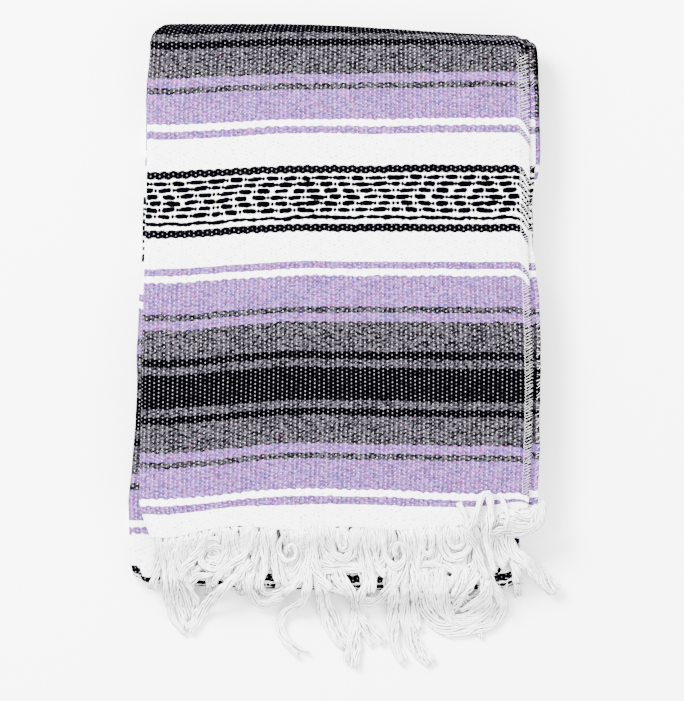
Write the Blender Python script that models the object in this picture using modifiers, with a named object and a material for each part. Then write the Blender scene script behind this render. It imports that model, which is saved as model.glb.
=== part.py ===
"""Striped woven blanket, folded to sixteen layers and lying flat, with fringed ends at the near side.

The blanket is one cloth, 1.28 m wide and 1.83 m long. It is folded in half twice across its width,
which makes a strip of four layers, and then in half twice along its length. The front ply wraps the
whole pile: it runs from its fringed end over the far crest, along the underside and round the near turn.
+X is to the right of the front ply, +Y runs from the fringe to the crest, +Z is up. Lengths are metres.
"""

import math
from collections import namedtuple

import bmesh
import bpy
import numpy as np

MM = 0.001

# Driving sizes
CLOTH = 2.2 * MM
LAYER = 2.6 * MM
GAP = 0.3 * MM
LAYERS_IN_STRIP = 4
STRIP_HEIGHT = LAYERS_IN_STRIP * LAYER
PILE_HEIGHT = 4 * STRIP_HEIGHT
CREST_RADIUS = PILE_HEIGHT / 2
TURN_RADIUS = STRIP_HEIGHT
EDGE_ROLL = STRIP_HEIGHT / 2
ROLL_ANGLE = math.radians(105)
WAVE_HEIGHT = 1.2 * MM
INSIDE = CLOTH + GAP
ROLL_INSIDE = INSIDE + 0.4 * MM
INNER_ROLL = EDGE_ROLL - ROLL_INSIDE

# The far crest slopes back to the right, and the near turn bows; both have round corners
CREST_Y = 264.1 * MM
CREST_SLOPE = 9.6 * MM
CREST_SLOPE_START = -60 * MM
CREST_SLOPE_RUN = 220 * MM
CREST_CORNER = 13 * MM
TURN_Y = -198.4 * MM
TURN_BOW = 5.5 * MM
TURN_MIDDLE = 30 * MM
TURN_HALF = 190 * MM
TURN_CORNER = 15 * MM
TURN_CORNER_LEFT = -158 * MM
TURN_CORNER_RIGHT = 128 * MM
ROUNDEST = 0.96

# The fringed ends lie along one line, which rises at the right and drops at the left
FRONT_END_Y = -147.0 * MM
FRONT_SCALLOP = 1.6 * MM
FRONT_SCALLOP_RUN = 13.5 * MM
FACE_Y = -145.5 * MM
END_RISE = 16 * MM
END_RISE_START = 85 * MM
END_RISE_RUN = 60 * MM
END_DROP = 8 * MM
END_DROP_START = -104 * MM
END_DROP_RUN = 50 * MM

# How finely the solids are divided
LEGS = (("front", 24), ("crest", 12), ("under", 18), ("turn", 8), ("lip", 3))
FLAT_COLUMNS = 19
ROLL_COLUMNS = 6
ACROSS_STOPS = 17
ACROSS_LEFT = -130 * MM
ACROSS_RIGHT = 125 * MM
ROLL_STEPS = 5
PLY_POINTS = 5
PILE_RINGS = 13
STRAIGHT_END = 234 * MM
CREST_SECTION_Y = 244 * MM
CREST_STOPS = (0.0, 0.3, 0.55, 0.75, 0.9, 0.97)
SHIFT_FADE = 60 * MM

# The tongue is the part of the hidden layers inside the near turn
TONGUE_START = -188 * MM
TONGUE_END = FACE_Y - 3 * MM
TONGUE_STOPS = (0.0, 0.12, 0.35, 0.7, 1.0)
TONGUE_SWELL = 5.5 * MM
TONGUE_GAP = 1.0 * MM
TONGUE_ROOT = ((-141 * MM, 1.2 * MM), (-118 * MM, 1.6 * MM))

# Edges of the folded strips, a row for each place along Y (mm)
Edge = namedtuple("Edge", "y front_left middle_left front_right low_right")
EDGES = (
    Edge(-200, -157.0, -173.5, 141.0, 140.0),
    Edge(-157, -158.0, -176.5, 142.0, 141.5),
    Edge(-134, -166.5, -177.0, 148.0, 143.5),
    Edge(-124, -168.1, -177.0, 149.4, 145.0),
    Edge(-83, -167.4, -173.4, 151.0, 148.0),
    Edge(-42, -166.5, -170.5, 151.8, 150.0),
    Edge(-2, -165.9, -170.3, 151.8, 151.0),
    Edge(39, -164.8, -168.9, 150.2, 151.0),
    Edge(79, -163.6, -166.0, 148.6, 150.0),
    Edge(120, -162.4, -165.2, 149.4, 150.0),
    Edge(161, -161.7, -163.2, 150.2, 151.0),
    Edge(201, -161.6, -162.8, 149.4, 151.0),
    Edge(244, -159.1, -159.5, 147.7, 149.0),
)

# Hidden plies at the right side, top to bottom: layers of cloth in the ply, and how far it stands out (mm)
UPPER_STRIPS = ("first", "second")
LOWER_STRIPS = ("third", "fourth")
Ply = namedtuple("Ply", "strip name layers reach")
PLIES = (
    Ply("first", "serged", 1, 7.0),
    Ply("first", "fold", 2, 8.6),
    Ply("second", "fold", 2, 6.0),
    Ply("second", "serged", 1, 4.5),
    Ply("second", "outer", 1, 2.0),
    Ply("third", "outer", 1, 0.5),
    Ply("third", "serged", 1, -1.0),
    Ply("third", "fold", 2, 1.0),
    Ply("fourth", "fold", 2, -0.5),
    Ply("fourth", "serged", 1, -2.0),
)

# Fringe locks that lie on top: where they start, two points they pass, their tip, and their strands (mm)
Lock = namedtuple("Lock", "root_x first second tip strands level")
FRONT_LOCKS = (
    Lock(-152, (-147, -184), (-143, -211), (-131, -234), 4, 0),
    Lock(-137, (-132, -182), (-128, -202), (-119, -215), 4, 0),
    Lock(-121, (-118, -168), (-115, -182), (-110, -197), 3, 0),
    Lock(-95, (-97, -162), (-98, -176), (-99, -190), 3, 0),
    Lock(-74, (-92, -173), (-107, -198), (-124, -227), 5, 1),
    Lock(-60, (-66, -182), (-72, -207), (-58, -211), 3, 0),
    Lock(-47, (-48, -170), (-48, -190), (-47, -202), 3, 0),
    Lock(-32, (-34, -203), (-53, -224), (-37, -255), 3, 0),
    Lock(-19, (-20, -200), (-15, -224), (-5, -240), 4, 0),
    Lock(-5, (-5, -175), (-4, -190), (-3, -202), 2, 0),
    Lock(9, (9, -200), (7, -228), (9, -263.7), 4, 0),
    Lock(22, (20, -204), (23, -224), (30, -237), 3, 0),
    Lock(31, (31, -180), (31, -195), (32, -207), 2, 0),
    Lock(40, (41, -200), (42, -234), (48, -257), 3, 0),
    Lock(54, (54, -200), (57, -232), (72, -258), 4, 0),
    Lock(67, (68, -210), (88, -229), (110, -226), 3, 0),
    Lock(80, (81, -198), (94, -216), (110, -209), 3, 0),
    Lock(94, (95, -170), (98, -188), (98, -200), 2, 0),
    Lock(108, (109, -196), (110, -222), (111, -238), 2, 1),
    Lock(124, (129, -192), (129, -211), (121, -222), 4, 0),
    Lock(139, (140, -160), (152, -175), (173.6, -197), 4, 0),
    Lock(153, (160, -134), (158, -145), (149, -151), 3, 0),
)

# The lower fringe is a row of short locks that hang over the near turn
LOW_LOCKS = 24
LOW_FIRST = -146 * MM
LOW_LAST = 128 * MM
LOW_STRANDS = 2
LOW_CLEARANCE = 0.8 * MM

STRAND_RADIUS = 1.3 * MM
STRIP_RADIUS = 1.2 * MM
STRAND_SPACING = 2.8 * MM
FRONT_STOPS = 10
LOW_STOPS = 8
STRIP_STOPS = 28
FLOOR_CLEARANCE = 0.4 * MM
LOCK_LEVEL = 4.3 * MM
SETTLE_Y = -206 * MM
SETTLE_RUN = 16 * MM
HANG_ANGLE = math.radians(50)
FALL_RUN = 15 * MM

COLLECTION = "folded_blanket"


def smooth(t):
    """Ease from 0 to 1."""
    t = np.clip(t, 0.0, 1.0)
    return t * t * (3.0 - 2.0 * t)


def edge_at(column, y):
    """One column of the EDGES table, read between its rows."""
    rows = sorted(EDGES)
    return np.interp(y, [row.y * MM for row in rows], [getattr(row, column) * MM for row in rows])


def corner_cut(beyond):
    """Share of a round corner's radius that is cut away, from 0 where it starts to near 1 at its side."""
    return 1 - np.sqrt(1 - ROUNDEST * np.clip(beyond, 0.0, 1.0) ** 2)


def crest_y(x):
    """Far end of the pile, which slopes back to the right."""
    return CREST_Y - CREST_SLOPE * smooth((x - CREST_SLOPE_START) / CREST_SLOPE_RUN)


def turn_y(x):
    """Near end of the pile, a shallow bow with round corners."""
    bow = TURN_Y + TURN_BOW * ((x - TURN_MIDDLE) / TURN_HALF) ** 2
    beyond = np.maximum(TURN_CORNER_LEFT - x, x - TURN_CORNER_RIGHT) / TURN_CORNER
    return bow + TURN_CORNER * corner_cut(beyond)


def end_shift(x):
    """How far the fringed ends sit from their middle line: they rise at the right and drop at the left."""
    rise = END_RISE * smooth((x - END_RISE_START) / END_RISE_RUN)
    return rise - END_DROP * smooth((END_DROP_START - x) / END_DROP_RUN)


def front_end_y(x):
    """Woven end of the front ply."""
    return FRONT_END_Y + FRONT_SCALLOP * np.cos(x / FRONT_SCALLOP_RUN) + end_shift(x)


def crest_inset(y, x):
    """How far the rounded corners of the crest cut in at this place."""
    return CREST_CORNER * corner_cut(1 - (crest_y(x) - y) / CREST_CORNER)


def path_stations():
    """Stops along the outer ply: which leg they are on, and how far along it."""
    stops = []
    for leg, count in LEGS:
        stops += [(leg, step / count) for step in range(count)]
    return stops + [(LEGS[-1][0], 1.0)]


def path_point(leg, t, x):
    """(y, z, normal y, normal z, share of the lower edges) on the outer ply at a place across."""
    crest = crest_y(x) - CREST_RADIUS
    turn = turn_y(x) + TURN_RADIUS
    if leg == "front":
        start = front_end_y(x)
        return start + (crest - start) * t, PILE_HEIGHT, 0.0, 1.0, 0.0
    if leg == "crest":
        angle = math.pi * t
        y = crest + CREST_RADIUS * math.sin(angle)
        return y, CREST_RADIUS * (1 + math.cos(angle)), math.sin(angle), math.cos(angle), t
    if leg == "under":
        return crest + (turn - crest) * t, 0.0, 0.0, -1.0, 1.0
    if leg == "turn":
        angle = math.pi * t
        y = turn - TURN_RADIUS * math.sin(angle)
        return y, TURN_RADIUS * (1 - math.cos(angle)), -math.sin(angle), -math.cos(angle), 1.0
    stop = FACE_Y - 4 * GAP + end_shift(x)
    return turn + (stop - turn) * t, 2 * TURN_RADIUS, 0.0, 1.0, 1.0


def outer_wave(leg, t, x, y):
    """Soft unevenness of the front ply, never below the pile's height."""
    if leg != "front":
        return 0.0
    fade = smooth((1 - t) / 0.12)
    rise = 1 + np.sin(x / MM / 31 + y / MM / 52) * np.cos(y / MM / 40 - x / MM / 85)
    return WAVE_HEIGHT / 2 * rise * fade


def outer_point(leg, t, across):
    """Point of the outer ply. across runs from 0 at the right edge to 1 where the left roll starts, and
    on to 2 at the end of the roll."""
    flat = min(across, 1.0)
    x = 150 * MM - 315 * MM * flat
    for _ in range(3):
        y, z, ny, nz, low = path_point(leg, t, x)
        inset = crest_inset(y, x)
        left = (1 - low) * edge_at("front_left", y) + low * edge_at("middle_left", y) + inset
        right = (1 - low) * edge_at("front_right", y) + low * edge_at("low_right", y) - inset
        x = right + (left + EDGE_ROLL - right) * flat
    offset = outer_wave(leg, t, x, y)
    if across > 1:
        angle = ROLL_ANGLE * (across - 1)
        x = left + EDGE_ROLL * (1 - math.sin(angle))
        offset -= EDGE_ROLL * (1 - math.cos(angle))
    return x, y + ny * offset, z + nz * offset


def material(name, colour, roughness):
    """Principled material in a plain colour."""
    made = bpy.data.materials.new(name)
    made.use_nodes = True
    shader = made.node_tree.nodes["Principled BSDF"]
    shader.inputs["Base Color"].default_value = (*colour, 1.0)
    shader.inputs["Roughness"].default_value = roughness
    shader.inputs["Metallic"].default_value = 0.0
    return made


def add_object(name, mesh, finish, collection):
    """Links a mesh as a named object with its own material."""
    made = bpy.data.objects.new(name, mesh)
    collection.objects.link(made)
    mesh.materials.clear()
    mesh.materials.append(finish)
    return made


def mesh_from(bm, name):
    """Finishes a bmesh with its faces out."""
    bmesh.ops.recalc_face_normals(bm, faces=bm.faces)
    mesh = bpy.data.meshes.new(name)
    bm.to_mesh(mesh)
    bm.free()
    return mesh


def build_outer_ply(collection):
    """The ply that shows on top, over the crest, underneath and round the near turn, as one wall."""
    flats = np.linspace(0, 1, FLAT_COLUMNS)
    rolls = 1 + np.linspace(0, 1, ROLL_COLUMNS + 1)[1:]
    columns = list(flats) + list(rolls)
    bm = bmesh.new()
    rows = []
    for leg, t in path_stations():
        rows.append([bm.verts.new(outer_point(leg, t, across)) for across in columns])
    for row, above in zip(rows, rows[1:]):
        for i in range(len(columns) - 1):
            bm.faces.new((row[i], above[i], above[i + 1], row[i + 1]))
    mesh = bpy.data.meshes.new("outer_ply")
    bm.to_mesh(mesh)
    bm.free()
    finish = material("striped_cloth", (0.51, 0.41, 0.64), 0.95)
    ply = add_object("outer_ply", mesh, finish, collection)
    wall = ply.modifiers.new("cloth_thickness", "SOLIDIFY")
    wall.thickness = CLOTH
    wall.offset = -1.0
    return ply


def roll_section(left, low, high):
    """Half-round left side of one strip, from its bottom to its top."""
    half = (high - low) / 2
    angles = np.radians(np.linspace(-80, 80, ROLL_STEPS))
    return [(left + half * (1 - math.cos(a)), (low + high) / 2 + half * math.sin(a)) for a in angles]


def ply_section(reach, low, high):
    """Blunt nose of one ply at the right side, from its top to its bottom."""
    nose = min(1.3 * MM, (high - low) / 3)
    groove = reach - 3.5 * MM
    return [
        (groove, high),
        (reach - nose, high - 0.12 * MM),
        (reach, high - nose),
        (reach, low + nose),
        (reach - nose, low + 0.12 * MM),
    ]


def right_sections(y, strips):
    """Noses of the hidden plies of these strips, top to bottom."""
    points = []
    top = PILE_HEIGHT - LAYER
    for ply in PLIES:
        low = top - ply.layers * LAYER
        if ply.strip in strips:
            column = "front_right" if ply.strip in UPPER_STRIPS else "low_right"
            ripple = 0.6 * MM * math.sin(y / MM / 37 + 2.1 * PLIES.index(ply))
            reach = edge_at(column, y) + ply.reach * MM + ripple
            points += ply_section(reach, low, top)
        top = low
    return points


def closed_section(right, left, low, high):
    """Ring from its right side downwards, along the bottom, up the left side and back along the top."""
    across = np.linspace(ACROSS_LEFT, ACROSS_RIGHT, ACROSS_STOPS)
    bottom = [(x, low) for x in across[::-1]]
    top = [(x, high) for x in across]
    return [(x, min(max(z, low), high)) for x, z in right + bottom + left + top]


def pile_ring(y, left_y):
    """Section of all the hidden layers. left_y is where its left side lies, y where its right side does."""
    front = edge_at("front_left", left_y)
    middle = edge_at("middle_left", left_y)
    right = right_sections(y, UPPER_STRIPS + LOWER_STRIPS)
    left = roll_section(middle + ROLL_INSIDE, INSIDE, INSIDE + 2 * INNER_ROLL)
    left += roll_section(middle, STRIP_HEIGHT + GAP, 2 * STRIP_HEIGHT - GAP)
    left += roll_section(front + 1.5 * MM, 2 * STRIP_HEIGHT, 3 * STRIP_HEIGHT - GAP)
    left += roll_section(front + ROLL_INSIDE, PILE_HEIGHT - INSIDE - 2 * INNER_ROLL, PILE_HEIGHT - INSIDE)
    return closed_section(right, left, INSIDE, PILE_HEIGHT - INSIDE)


def tongue_ring(y, inset):
    """Section of the hidden layers of the two lower strips, inside the near turn."""
    middle = edge_at("middle_left", y) + inset
    top = 2 * STRIP_HEIGHT - INSIDE
    right = [(x - inset, z) for x, z in right_sections(y, LOWER_STRIPS)[PLY_POINTS:]]
    left = roll_section(middle + ROLL_INSIDE, INSIDE, INSIDE + 2 * INNER_ROLL)
    left += roll_section(middle + ROLL_INSIDE, top - 2 * INNER_ROLL, top)
    return closed_section(right, left, INSIDE + inset, top - inset)


def end_cap(bm, ring, right_count, flip):
    """Closes a section ring: quads between its bottom and top rows, and one face at each side."""
    bottom = ring[right_count : right_count + ACROSS_STOPS]
    top = ring[-ACROSS_STOPS:][::-1]
    right_face = ring[: right_count + 1] + [top[0]]
    left_face = ring[right_count + ACROSS_STOPS - 1 : -ACROSS_STOPS + 1]
    faces = [right_face, left_face]
    for k in range(ACROSS_STOPS - 1):
        faces.append([bottom[k], bottom[k + 1], top[k + 1], top[k]])
    for face in faces:
        bm.faces.new(face[::-1] if flip else face)


def loft(rings, ply_count, name):
    """Closed mesh through section rings that each start with this many plies."""
    bm = bmesh.new()
    loops = [[bm.verts.new(point) for point in ring] for ring in rings]
    count = len(loops[0])
    for low, high in zip(loops, loops[1:]):
        for i in range(count):
            j = (i + 1) % count
            bm.faces.new((low[i], low[j], high[j], high[i]))
    end_cap(bm, loops[0], ply_count * PLY_POINTS, False)
    end_cap(bm, loops[-1], ply_count * PLY_POINTS, True)
    return mesh_from(bm, name)


def body_rings():
    """Sections of all the hidden layers, from their near face to the inside of the crest."""
    rings = []
    for y in np.linspace(FACE_Y, STRAIGHT_END, PILE_RINGS):
        share = 1 - smooth((y - FACE_Y) / SHIFT_FADE)
        ring = pile_ring(y, y + share * end_shift(edge_at("front_left", y)))
        rings.append([(x, y + share * end_shift(x), z) for x, z in ring])
    radius = CREST_RADIUS - INSIDE - 2 * GAP
    for turn in CREST_STOPS:
        squeeze = math.sqrt(1 - turn**2)
        ring = []
        for x, z in pile_ring(CREST_SECTION_Y, CREST_SECTION_Y):
            y = crest_y(x) - CREST_RADIUS + radius * turn
            inset = crest_inset(y + 2 * INSIDE, x)
            clear_of_roll = edge_at("front_left", y) + EDGE_ROLL + INSIDE + inset
            ring.append((max(x - inset, clear_of_roll), y, CREST_RADIUS + (z - CREST_RADIUS) * squeeze))
        rings.append(ring)
    return rings


def tongue_rings():
    """Sections of the hidden layers of the two lower strips: rounded inside the near turn, and narrower
    where they enter the body."""
    rings = []
    for share in TONGUE_STOPS:
        y = TONGUE_START + (TONGUE_END - TONGUE_START) * share
        ring = []
        for x, z in tongue_ring(y, 0.0):
            x = min(x, TURN_CORNER_RIGHT + TURN_CORNER * share)
            height = (z - TURN_RADIUS) / (TURN_RADIUS - INSIDE - TONGUE_GAP)
            swell = TONGUE_SWELL * math.sqrt(max(0.0, 1 - height**2))
            start = turn_y(x) + TURN_RADIUS - swell
            ring.append((x, start + (TONGUE_END + end_shift(x) - start) * share, z))
        rings.append(ring)
    for y, inset in TONGUE_ROOT:
        rings.append([(x, y + end_shift(x), z) for x, z in tongue_ring(y, inset)])
    return rings


def build_pile(collection):
    """The hidden layers as one rounded solid, layered at its sides."""
    finish = material("hidden_layers", (0.24, 0.22, 0.27), 0.95)
    body = add_object("pile", loft(body_rings(), len(PLIES), "pile"), finish, collection)
    tongue_plies = sum(ply.strip in LOWER_STRIPS for ply in PLIES) - 1
    tongue = bpy.data.objects.new("tongue", loft(tongue_rings(), tongue_plies, "tongue"))
    union(body, tongue, finish)


def union(target, other, finish):
    """Joins a closed mesh to the target, which keeps one mesh and one material."""
    bpy.context.scene.collection.objects.link(other)
    join = target.modifiers.new("join", "BOOLEAN")
    join.operation = "UNION"
    join.use_self = True
    join.object = other
    bpy.context.view_layer.update()
    evaluated = target.evaluated_get(bpy.context.evaluated_depsgraph_get())
    mesh = bpy.data.meshes.new_from_object(evaluated)
    mesh.name = target.name
    mesh.materials.clear()
    mesh.materials.append(finish)
    target.modifiers.clear()
    target.data = mesh
    bpy.data.objects.remove(other)


def tubes(routes, radius, name):
    """Three-sided tubes along these routes, as one mesh with closed ends."""
    section = bpy.data.curves.new(name + "_section", "CURVE")
    outline = section.splines.new("POLY")
    outline.points.add(2)
    outline.use_cyclic_u = True
    for point, degrees in zip(outline.points, (90, 210, 330)):
        angle = math.radians(degrees)
        point.co = (radius * math.cos(angle), radius * math.sin(angle), 0.0, 1.0)
    profile = bpy.data.objects.new(name + "_section", section)
    bpy.context.scene.collection.objects.link(profile)
    curve = bpy.data.curves.new(name, "CURVE")
    curve.dimensions = "3D"
    curve.twist_mode = "Z_UP"
    curve.bevel_mode = "OBJECT"
    curve.bevel_object = profile
    curve.use_fill_caps = True
    for route in routes:
        spline = curve.splines.new("POLY")
        spline.points.add(len(route) - 1)
        for point, place in zip(spline.points, route):
            point.co = (*place, 1.0)
    guide = bpy.data.objects.new(name + "_guide", curve)
    bpy.context.scene.collection.objects.link(guide)
    bpy.context.view_layer.update()
    mesh = bpy.data.meshes.new_from_object(guide.evaluated_get(bpy.context.evaluated_depsgraph_get()))
    bpy.data.objects.remove(guide)
    bpy.data.objects.remove(profile)
    bm = bmesh.new()
    bm.from_mesh(mesh)
    bmesh.ops.remove_doubles(bm, verts=bm.verts, dist=0.001 * MM)
    bpy.data.meshes.remove(mesh)
    return mesh_from(bm, name)


def through(points, count):
    """Evenly spaced stops on a smooth curve through the points (Catmull-Rom)."""
    points = [np.array(point, float) for point in points]
    ends = [2 * points[0] - points[1]] + points + [2 * points[-1] - points[-2]]
    stops = []
    for a, b, c, d in zip(ends, ends[1:], ends[2:], ends[3:]):
        for t in np.linspace(0, 1, 12, endpoint=False):
            square = 2 * a - 5 * b + 4 * c - d
            cube = 3 * b - a - 3 * c + d
            stops.append(0.5 * (2 * b + (c - a) * t + square * t**2 + cube * t**3))
    stops = np.array(stops + [points[-1]])
    run = np.concatenate([[0], np.cumsum(np.linalg.norm(np.diff(stops, axis=0), axis=1))])
    even = np.linspace(0, run[-1], count)
    return np.stack([np.interp(even, run, stops[:, axis]) for axis in range(stops.shape[1])], axis=1)


def hang_z(x, y, lift):
    """Height at which a strand lies on the near turn, hangs off it and rests on the floor."""
    turn = turn_y(x) + TURN_RADIUS
    radius = TURN_RADIUS + lift
    floor = FLOOR_CLEARANCE + lift
    angles = np.linspace(0, HANG_ANGLE, 6)
    ys = [turn + 1.0] + [turn - radius * math.sin(a) for a in angles]
    zs = [TURN_RADIUS + radius] + [TURN_RADIUS + radius * math.cos(a) for a in angles]
    fall = zs[-1] - floor
    for share in (0.35, 0.65, 0.85, 1.0):
        ys.append(ys[len(angles)] - fall / math.tan(HANG_ANGLE) * share * (1 + 0.35 * share))
        zs.append(floor + fall * (1 - share) ** 1.25)
    return np.interp(-y, [-value for value in ys], zs)


def front_z(x, y, level):
    """Height of the upper fringe: it falls from the front ply's end and lies on the lower fringe."""
    lift = STRAND_RADIUS + (1.0 - smooth((SETTLE_Y - y) / SETTLE_RUN) + level) * LOCK_LEVEL
    start = front_end_y(x)
    bed = hang_z(x, y, lift)
    drop = PILE_HEIGHT - LAYER / 2 + level * LOCK_LEVEL - bed
    return bed + max(drop, 0.0) * (1 - smooth((start - 2 * MM - y) / FALL_RUN))


def low_z(x, y, level):
    """Height of the lower fringe, which lies on the near turn."""
    return hang_z(x, y, STRAND_RADIUS + LOW_CLEARANCE + level * LOCK_LEVEL)


def strand_route(root, lock_points, aside, height, trim, stops):
    """One strand: from its root in the strip, beside the lock's middle line, to its tip."""
    flat = through([(root[0] + aside, root[1])] + lock_points, stops)
    tangent = np.gradient(flat, axis=0)
    tangent /= np.linalg.norm(tangent, axis=1)[:, None]
    across = np.stack([tangent[:, 1], -tangent[:, 0]], axis=1)
    flat = flat + aside * across * (np.arange(stops) > 0)[:, None]
    flat[-1] = flat[-2] + (flat[-1] - flat[-2]) * trim
    route = [tuple(root)]
    for x, y in flat[1:]:
        route.append((x, y, height(x, y)))
    return route


def lock_routes(lock, strip_at, height, stops):
    """Routes of all strands of one lock, spread across its width, with uneven tips."""
    routes = []
    for k in range(lock.strands):
        aside = (k - (lock.strands - 1) / 2) * STRAND_SPACING
        root = strip_at(lock.root_x * MM - aside)
        points = [(x * MM, y * MM) for x, y in (lock.first, lock.second, lock.tip)]
        trim = 1.0 - 0.35 * ((k * 2) % 3) / 2
        routes.append(strand_route(root, points, aside, lambda x, y: height(x, y, lock.level), trim, stops))
    return routes


def front_strip(x):
    """Middle of the narrow strip that carries the upper fringe, clear of the front ply's end."""
    beyond = smooth((x / MM - 150) / 6)
    y = front_end_y(min(x, 148 * MM)) - GAP - STRIP_RADIUS * 1.1
    return x, y, PILE_HEIGHT - LAYER / 2 - 2.6 * MM * beyond


def low_strip(x):
    """Middle of the strip that carries the lower fringe, on the near turn's lip."""
    return x, FACE_Y + end_shift(x) - 3 * GAP - STRIP_RADIUS, 2 * STRIP_HEIGHT + GAP + STRIP_RADIUS


def build_fringe(name, strip_at, strip_ends, routes, collection):
    """Strands fused at their roots into a narrow strip, as one node."""
    stops = np.linspace(strip_ends[0], strip_ends[1], STRIP_STOPS)
    strip = tubes([[strip_at(x) for x in stops]], STRIP_RADIUS, name)
    finish = material(name + "_cotton", (0.80, 0.78, 0.79), 0.9)
    fringe = add_object(name, strip, finish, collection)
    strands = bpy.data.objects.new(name + "_strands", tubes(routes, STRAND_RADIUS, name + "_strands"))
    union(fringe, strands, finish)


def low_locks():
    """The short locks of the lower fringe, evenly rooted, leaning and reaching unevenly."""
    locks = []
    for k in range(LOW_LOCKS):
        root = (LOW_FIRST + (LOW_LAST - LOW_FIRST) * k / (LOW_LOCKS - 1)) / MM
        lean = 3.0 * math.sin(1.9 * k)
        reach = -200 - 5.0 * math.sin(2.7 * k + 1)
        points = ((root + lean * 0.4, -166), (root + lean * 0.8, -184), (root + lean, reach))
        locks.append(Lock(root, *points, LOW_STRANDS, 0))
    return locks


def main():
    for old in list(bpy.data.objects):
        bpy.data.objects.remove(old)
    collection = bpy.data.collections.new(COLLECTION)
    bpy.context.scene.collection.children.link(collection)
    build_outer_ply(collection)
    build_pile(collection)
    front = []
    for lock in FRONT_LOCKS:
        front += lock_routes(lock, front_strip, front_z, FRONT_STOPS)
    build_fringe("fringe_front", front_strip, (-157 * MM, 159 * MM), front, collection)
    low = []
    for lock in low_locks():
        low += lock_routes(lock, low_strip, low_z, LOW_STOPS)
    build_fringe("fringe_low", low_strip, (-150 * MM, 132 * MM), low, collection)


main()
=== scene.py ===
"""Looks of a striped woven blanket that is folded to sixteen layers and lies flat, fringed at its near end.

Every shape is worked out with numpy from the sizes below, in metres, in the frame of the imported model: +X is
to the right of the front ply, +Y runs from the fringe to the crest and +Z is up. A cloth surface is a grid
whose rows are picks (weft yarns) and whose columns are warps, and its UV map holds (warps, picks).
"""

import math
from collections import namedtuple
from functools import partial

import bpy
import numpy as np
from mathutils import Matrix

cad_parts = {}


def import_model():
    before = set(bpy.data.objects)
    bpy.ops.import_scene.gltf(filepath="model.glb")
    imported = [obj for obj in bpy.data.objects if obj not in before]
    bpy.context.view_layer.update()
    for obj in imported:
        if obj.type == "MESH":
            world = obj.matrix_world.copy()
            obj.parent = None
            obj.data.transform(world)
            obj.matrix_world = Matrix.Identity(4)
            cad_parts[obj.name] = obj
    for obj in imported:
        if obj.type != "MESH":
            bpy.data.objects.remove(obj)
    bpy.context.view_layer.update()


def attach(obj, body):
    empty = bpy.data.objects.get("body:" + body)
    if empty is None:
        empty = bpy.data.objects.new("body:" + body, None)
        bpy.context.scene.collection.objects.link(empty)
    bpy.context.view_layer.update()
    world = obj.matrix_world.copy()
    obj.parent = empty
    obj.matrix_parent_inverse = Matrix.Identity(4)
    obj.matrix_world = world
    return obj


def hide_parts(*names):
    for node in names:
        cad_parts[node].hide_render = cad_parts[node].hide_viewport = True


MM = 0.001
BODY = "root"
WEAVE_MAP = "weave"

# Sizes of the folded pile, as in the solids
CLOTH = 2.2 * MM
LAYER = 2.6 * MM
STRIP_HEIGHT = 4 * LAYER
PILE_HEIGHT = 4 * STRIP_HEIGHT
CREST_RADIUS = PILE_HEIGHT / 2
TURN_RADIUS = STRIP_HEIGHT
EDGE_ROLL = STRIP_HEIGHT / 2
WAVE_HEIGHT = 1.2 * MM
CREST_Y = 264.1 * MM
CREST_SLOPE = 9.6 * MM
CREST_SLOPE_START = -60 * MM
CREST_SLOPE_RUN = 220 * MM
CREST_CORNER = 13 * MM
TURN_Y = -198.4 * MM
TURN_BOW = 5.5 * MM
TURN_MIDDLE = 30 * MM
TURN_HALF = 190 * MM
TURN_CORNER = 15 * MM
TURN_CORNER_LEFT = -158 * MM
TURN_CORNER_RIGHT = 128 * MM
ROUNDEST = 0.96
FRONT_END_Y = -147.0 * MM
FRONT_SCALLOP = 1.6 * MM
FRONT_SCALLOP_RUN = 13.5 * MM
FACE_Y = -145.5 * MM
END_RISE = 16 * MM
END_RISE_START = 85 * MM
END_RISE_RUN = 60 * MM
END_DROP = 8 * MM
END_DROP_START = -104 * MM
END_DROP_RUN = 50 * MM

# Side edges of the pile at each y: x of the front ply's edges and of the lower strips' (mm)
Edge = namedtuple("Edge", "y front_left middle_left front_right low_right")
EDGES = (
    Edge(-200, -157.0, -173.5, 141.0, 140.0),
    Edge(-157, -158.0, -176.5, 142.0, 141.5),
    Edge(-134, -166.5, -177.0, 148.0, 143.5),
    Edge(-124, -168.1, -177.0, 149.4, 145.0),
    Edge(-83, -167.4, -173.4, 151.0, 148.0),
    Edge(-42, -166.5, -170.5, 151.8, 150.0),
    Edge(-2, -165.9, -170.3, 151.8, 151.0),
    Edge(39, -164.8, -168.9, 150.2, 151.0),
    Edge(79, -163.6, -166.0, 148.6, 150.0),
    Edge(120, -162.4, -165.2, 149.4, 150.0),
    Edge(161, -161.7, -163.2, 150.2, 151.0),
    Edge(201, -161.6, -162.8, 149.4, 151.0),
    Edge(244, -159.1, -159.5, 147.7, 149.0),
)

# The weave: its pitches, the outer ply's grid and the first guess of its x, the stripes' repeat, and how
# uneven the face is
WARP = 3.643 * MM
PICK = 1.5636 * MM
FLAT_WARPS = 84
ROLL_HALF_WARPS = 6
MOTIF_WARP = 49.8
MOTIF_WARPS = 40
FRONT_PICKS = 272
ALL_PICKS = 594
REPEAT = 302 * MM
HALF_REPEAT = REPEAT / 2
BAND_AT = 268.3 * MM
RELIEF = 0.36 * MM
FACE_UNEVEN = 0.12 * MM
WARP_SWAY = 0.35 * MM
PICK_DRIFT = 0.45 * MM
WAVES_END = 12 * MM
WAVES_EASE = 30 * MM
FINE_PICKS = 540
FIRST_RIGHT = 150 * MM
FIRST_WIDTH = 315 * MM

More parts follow.
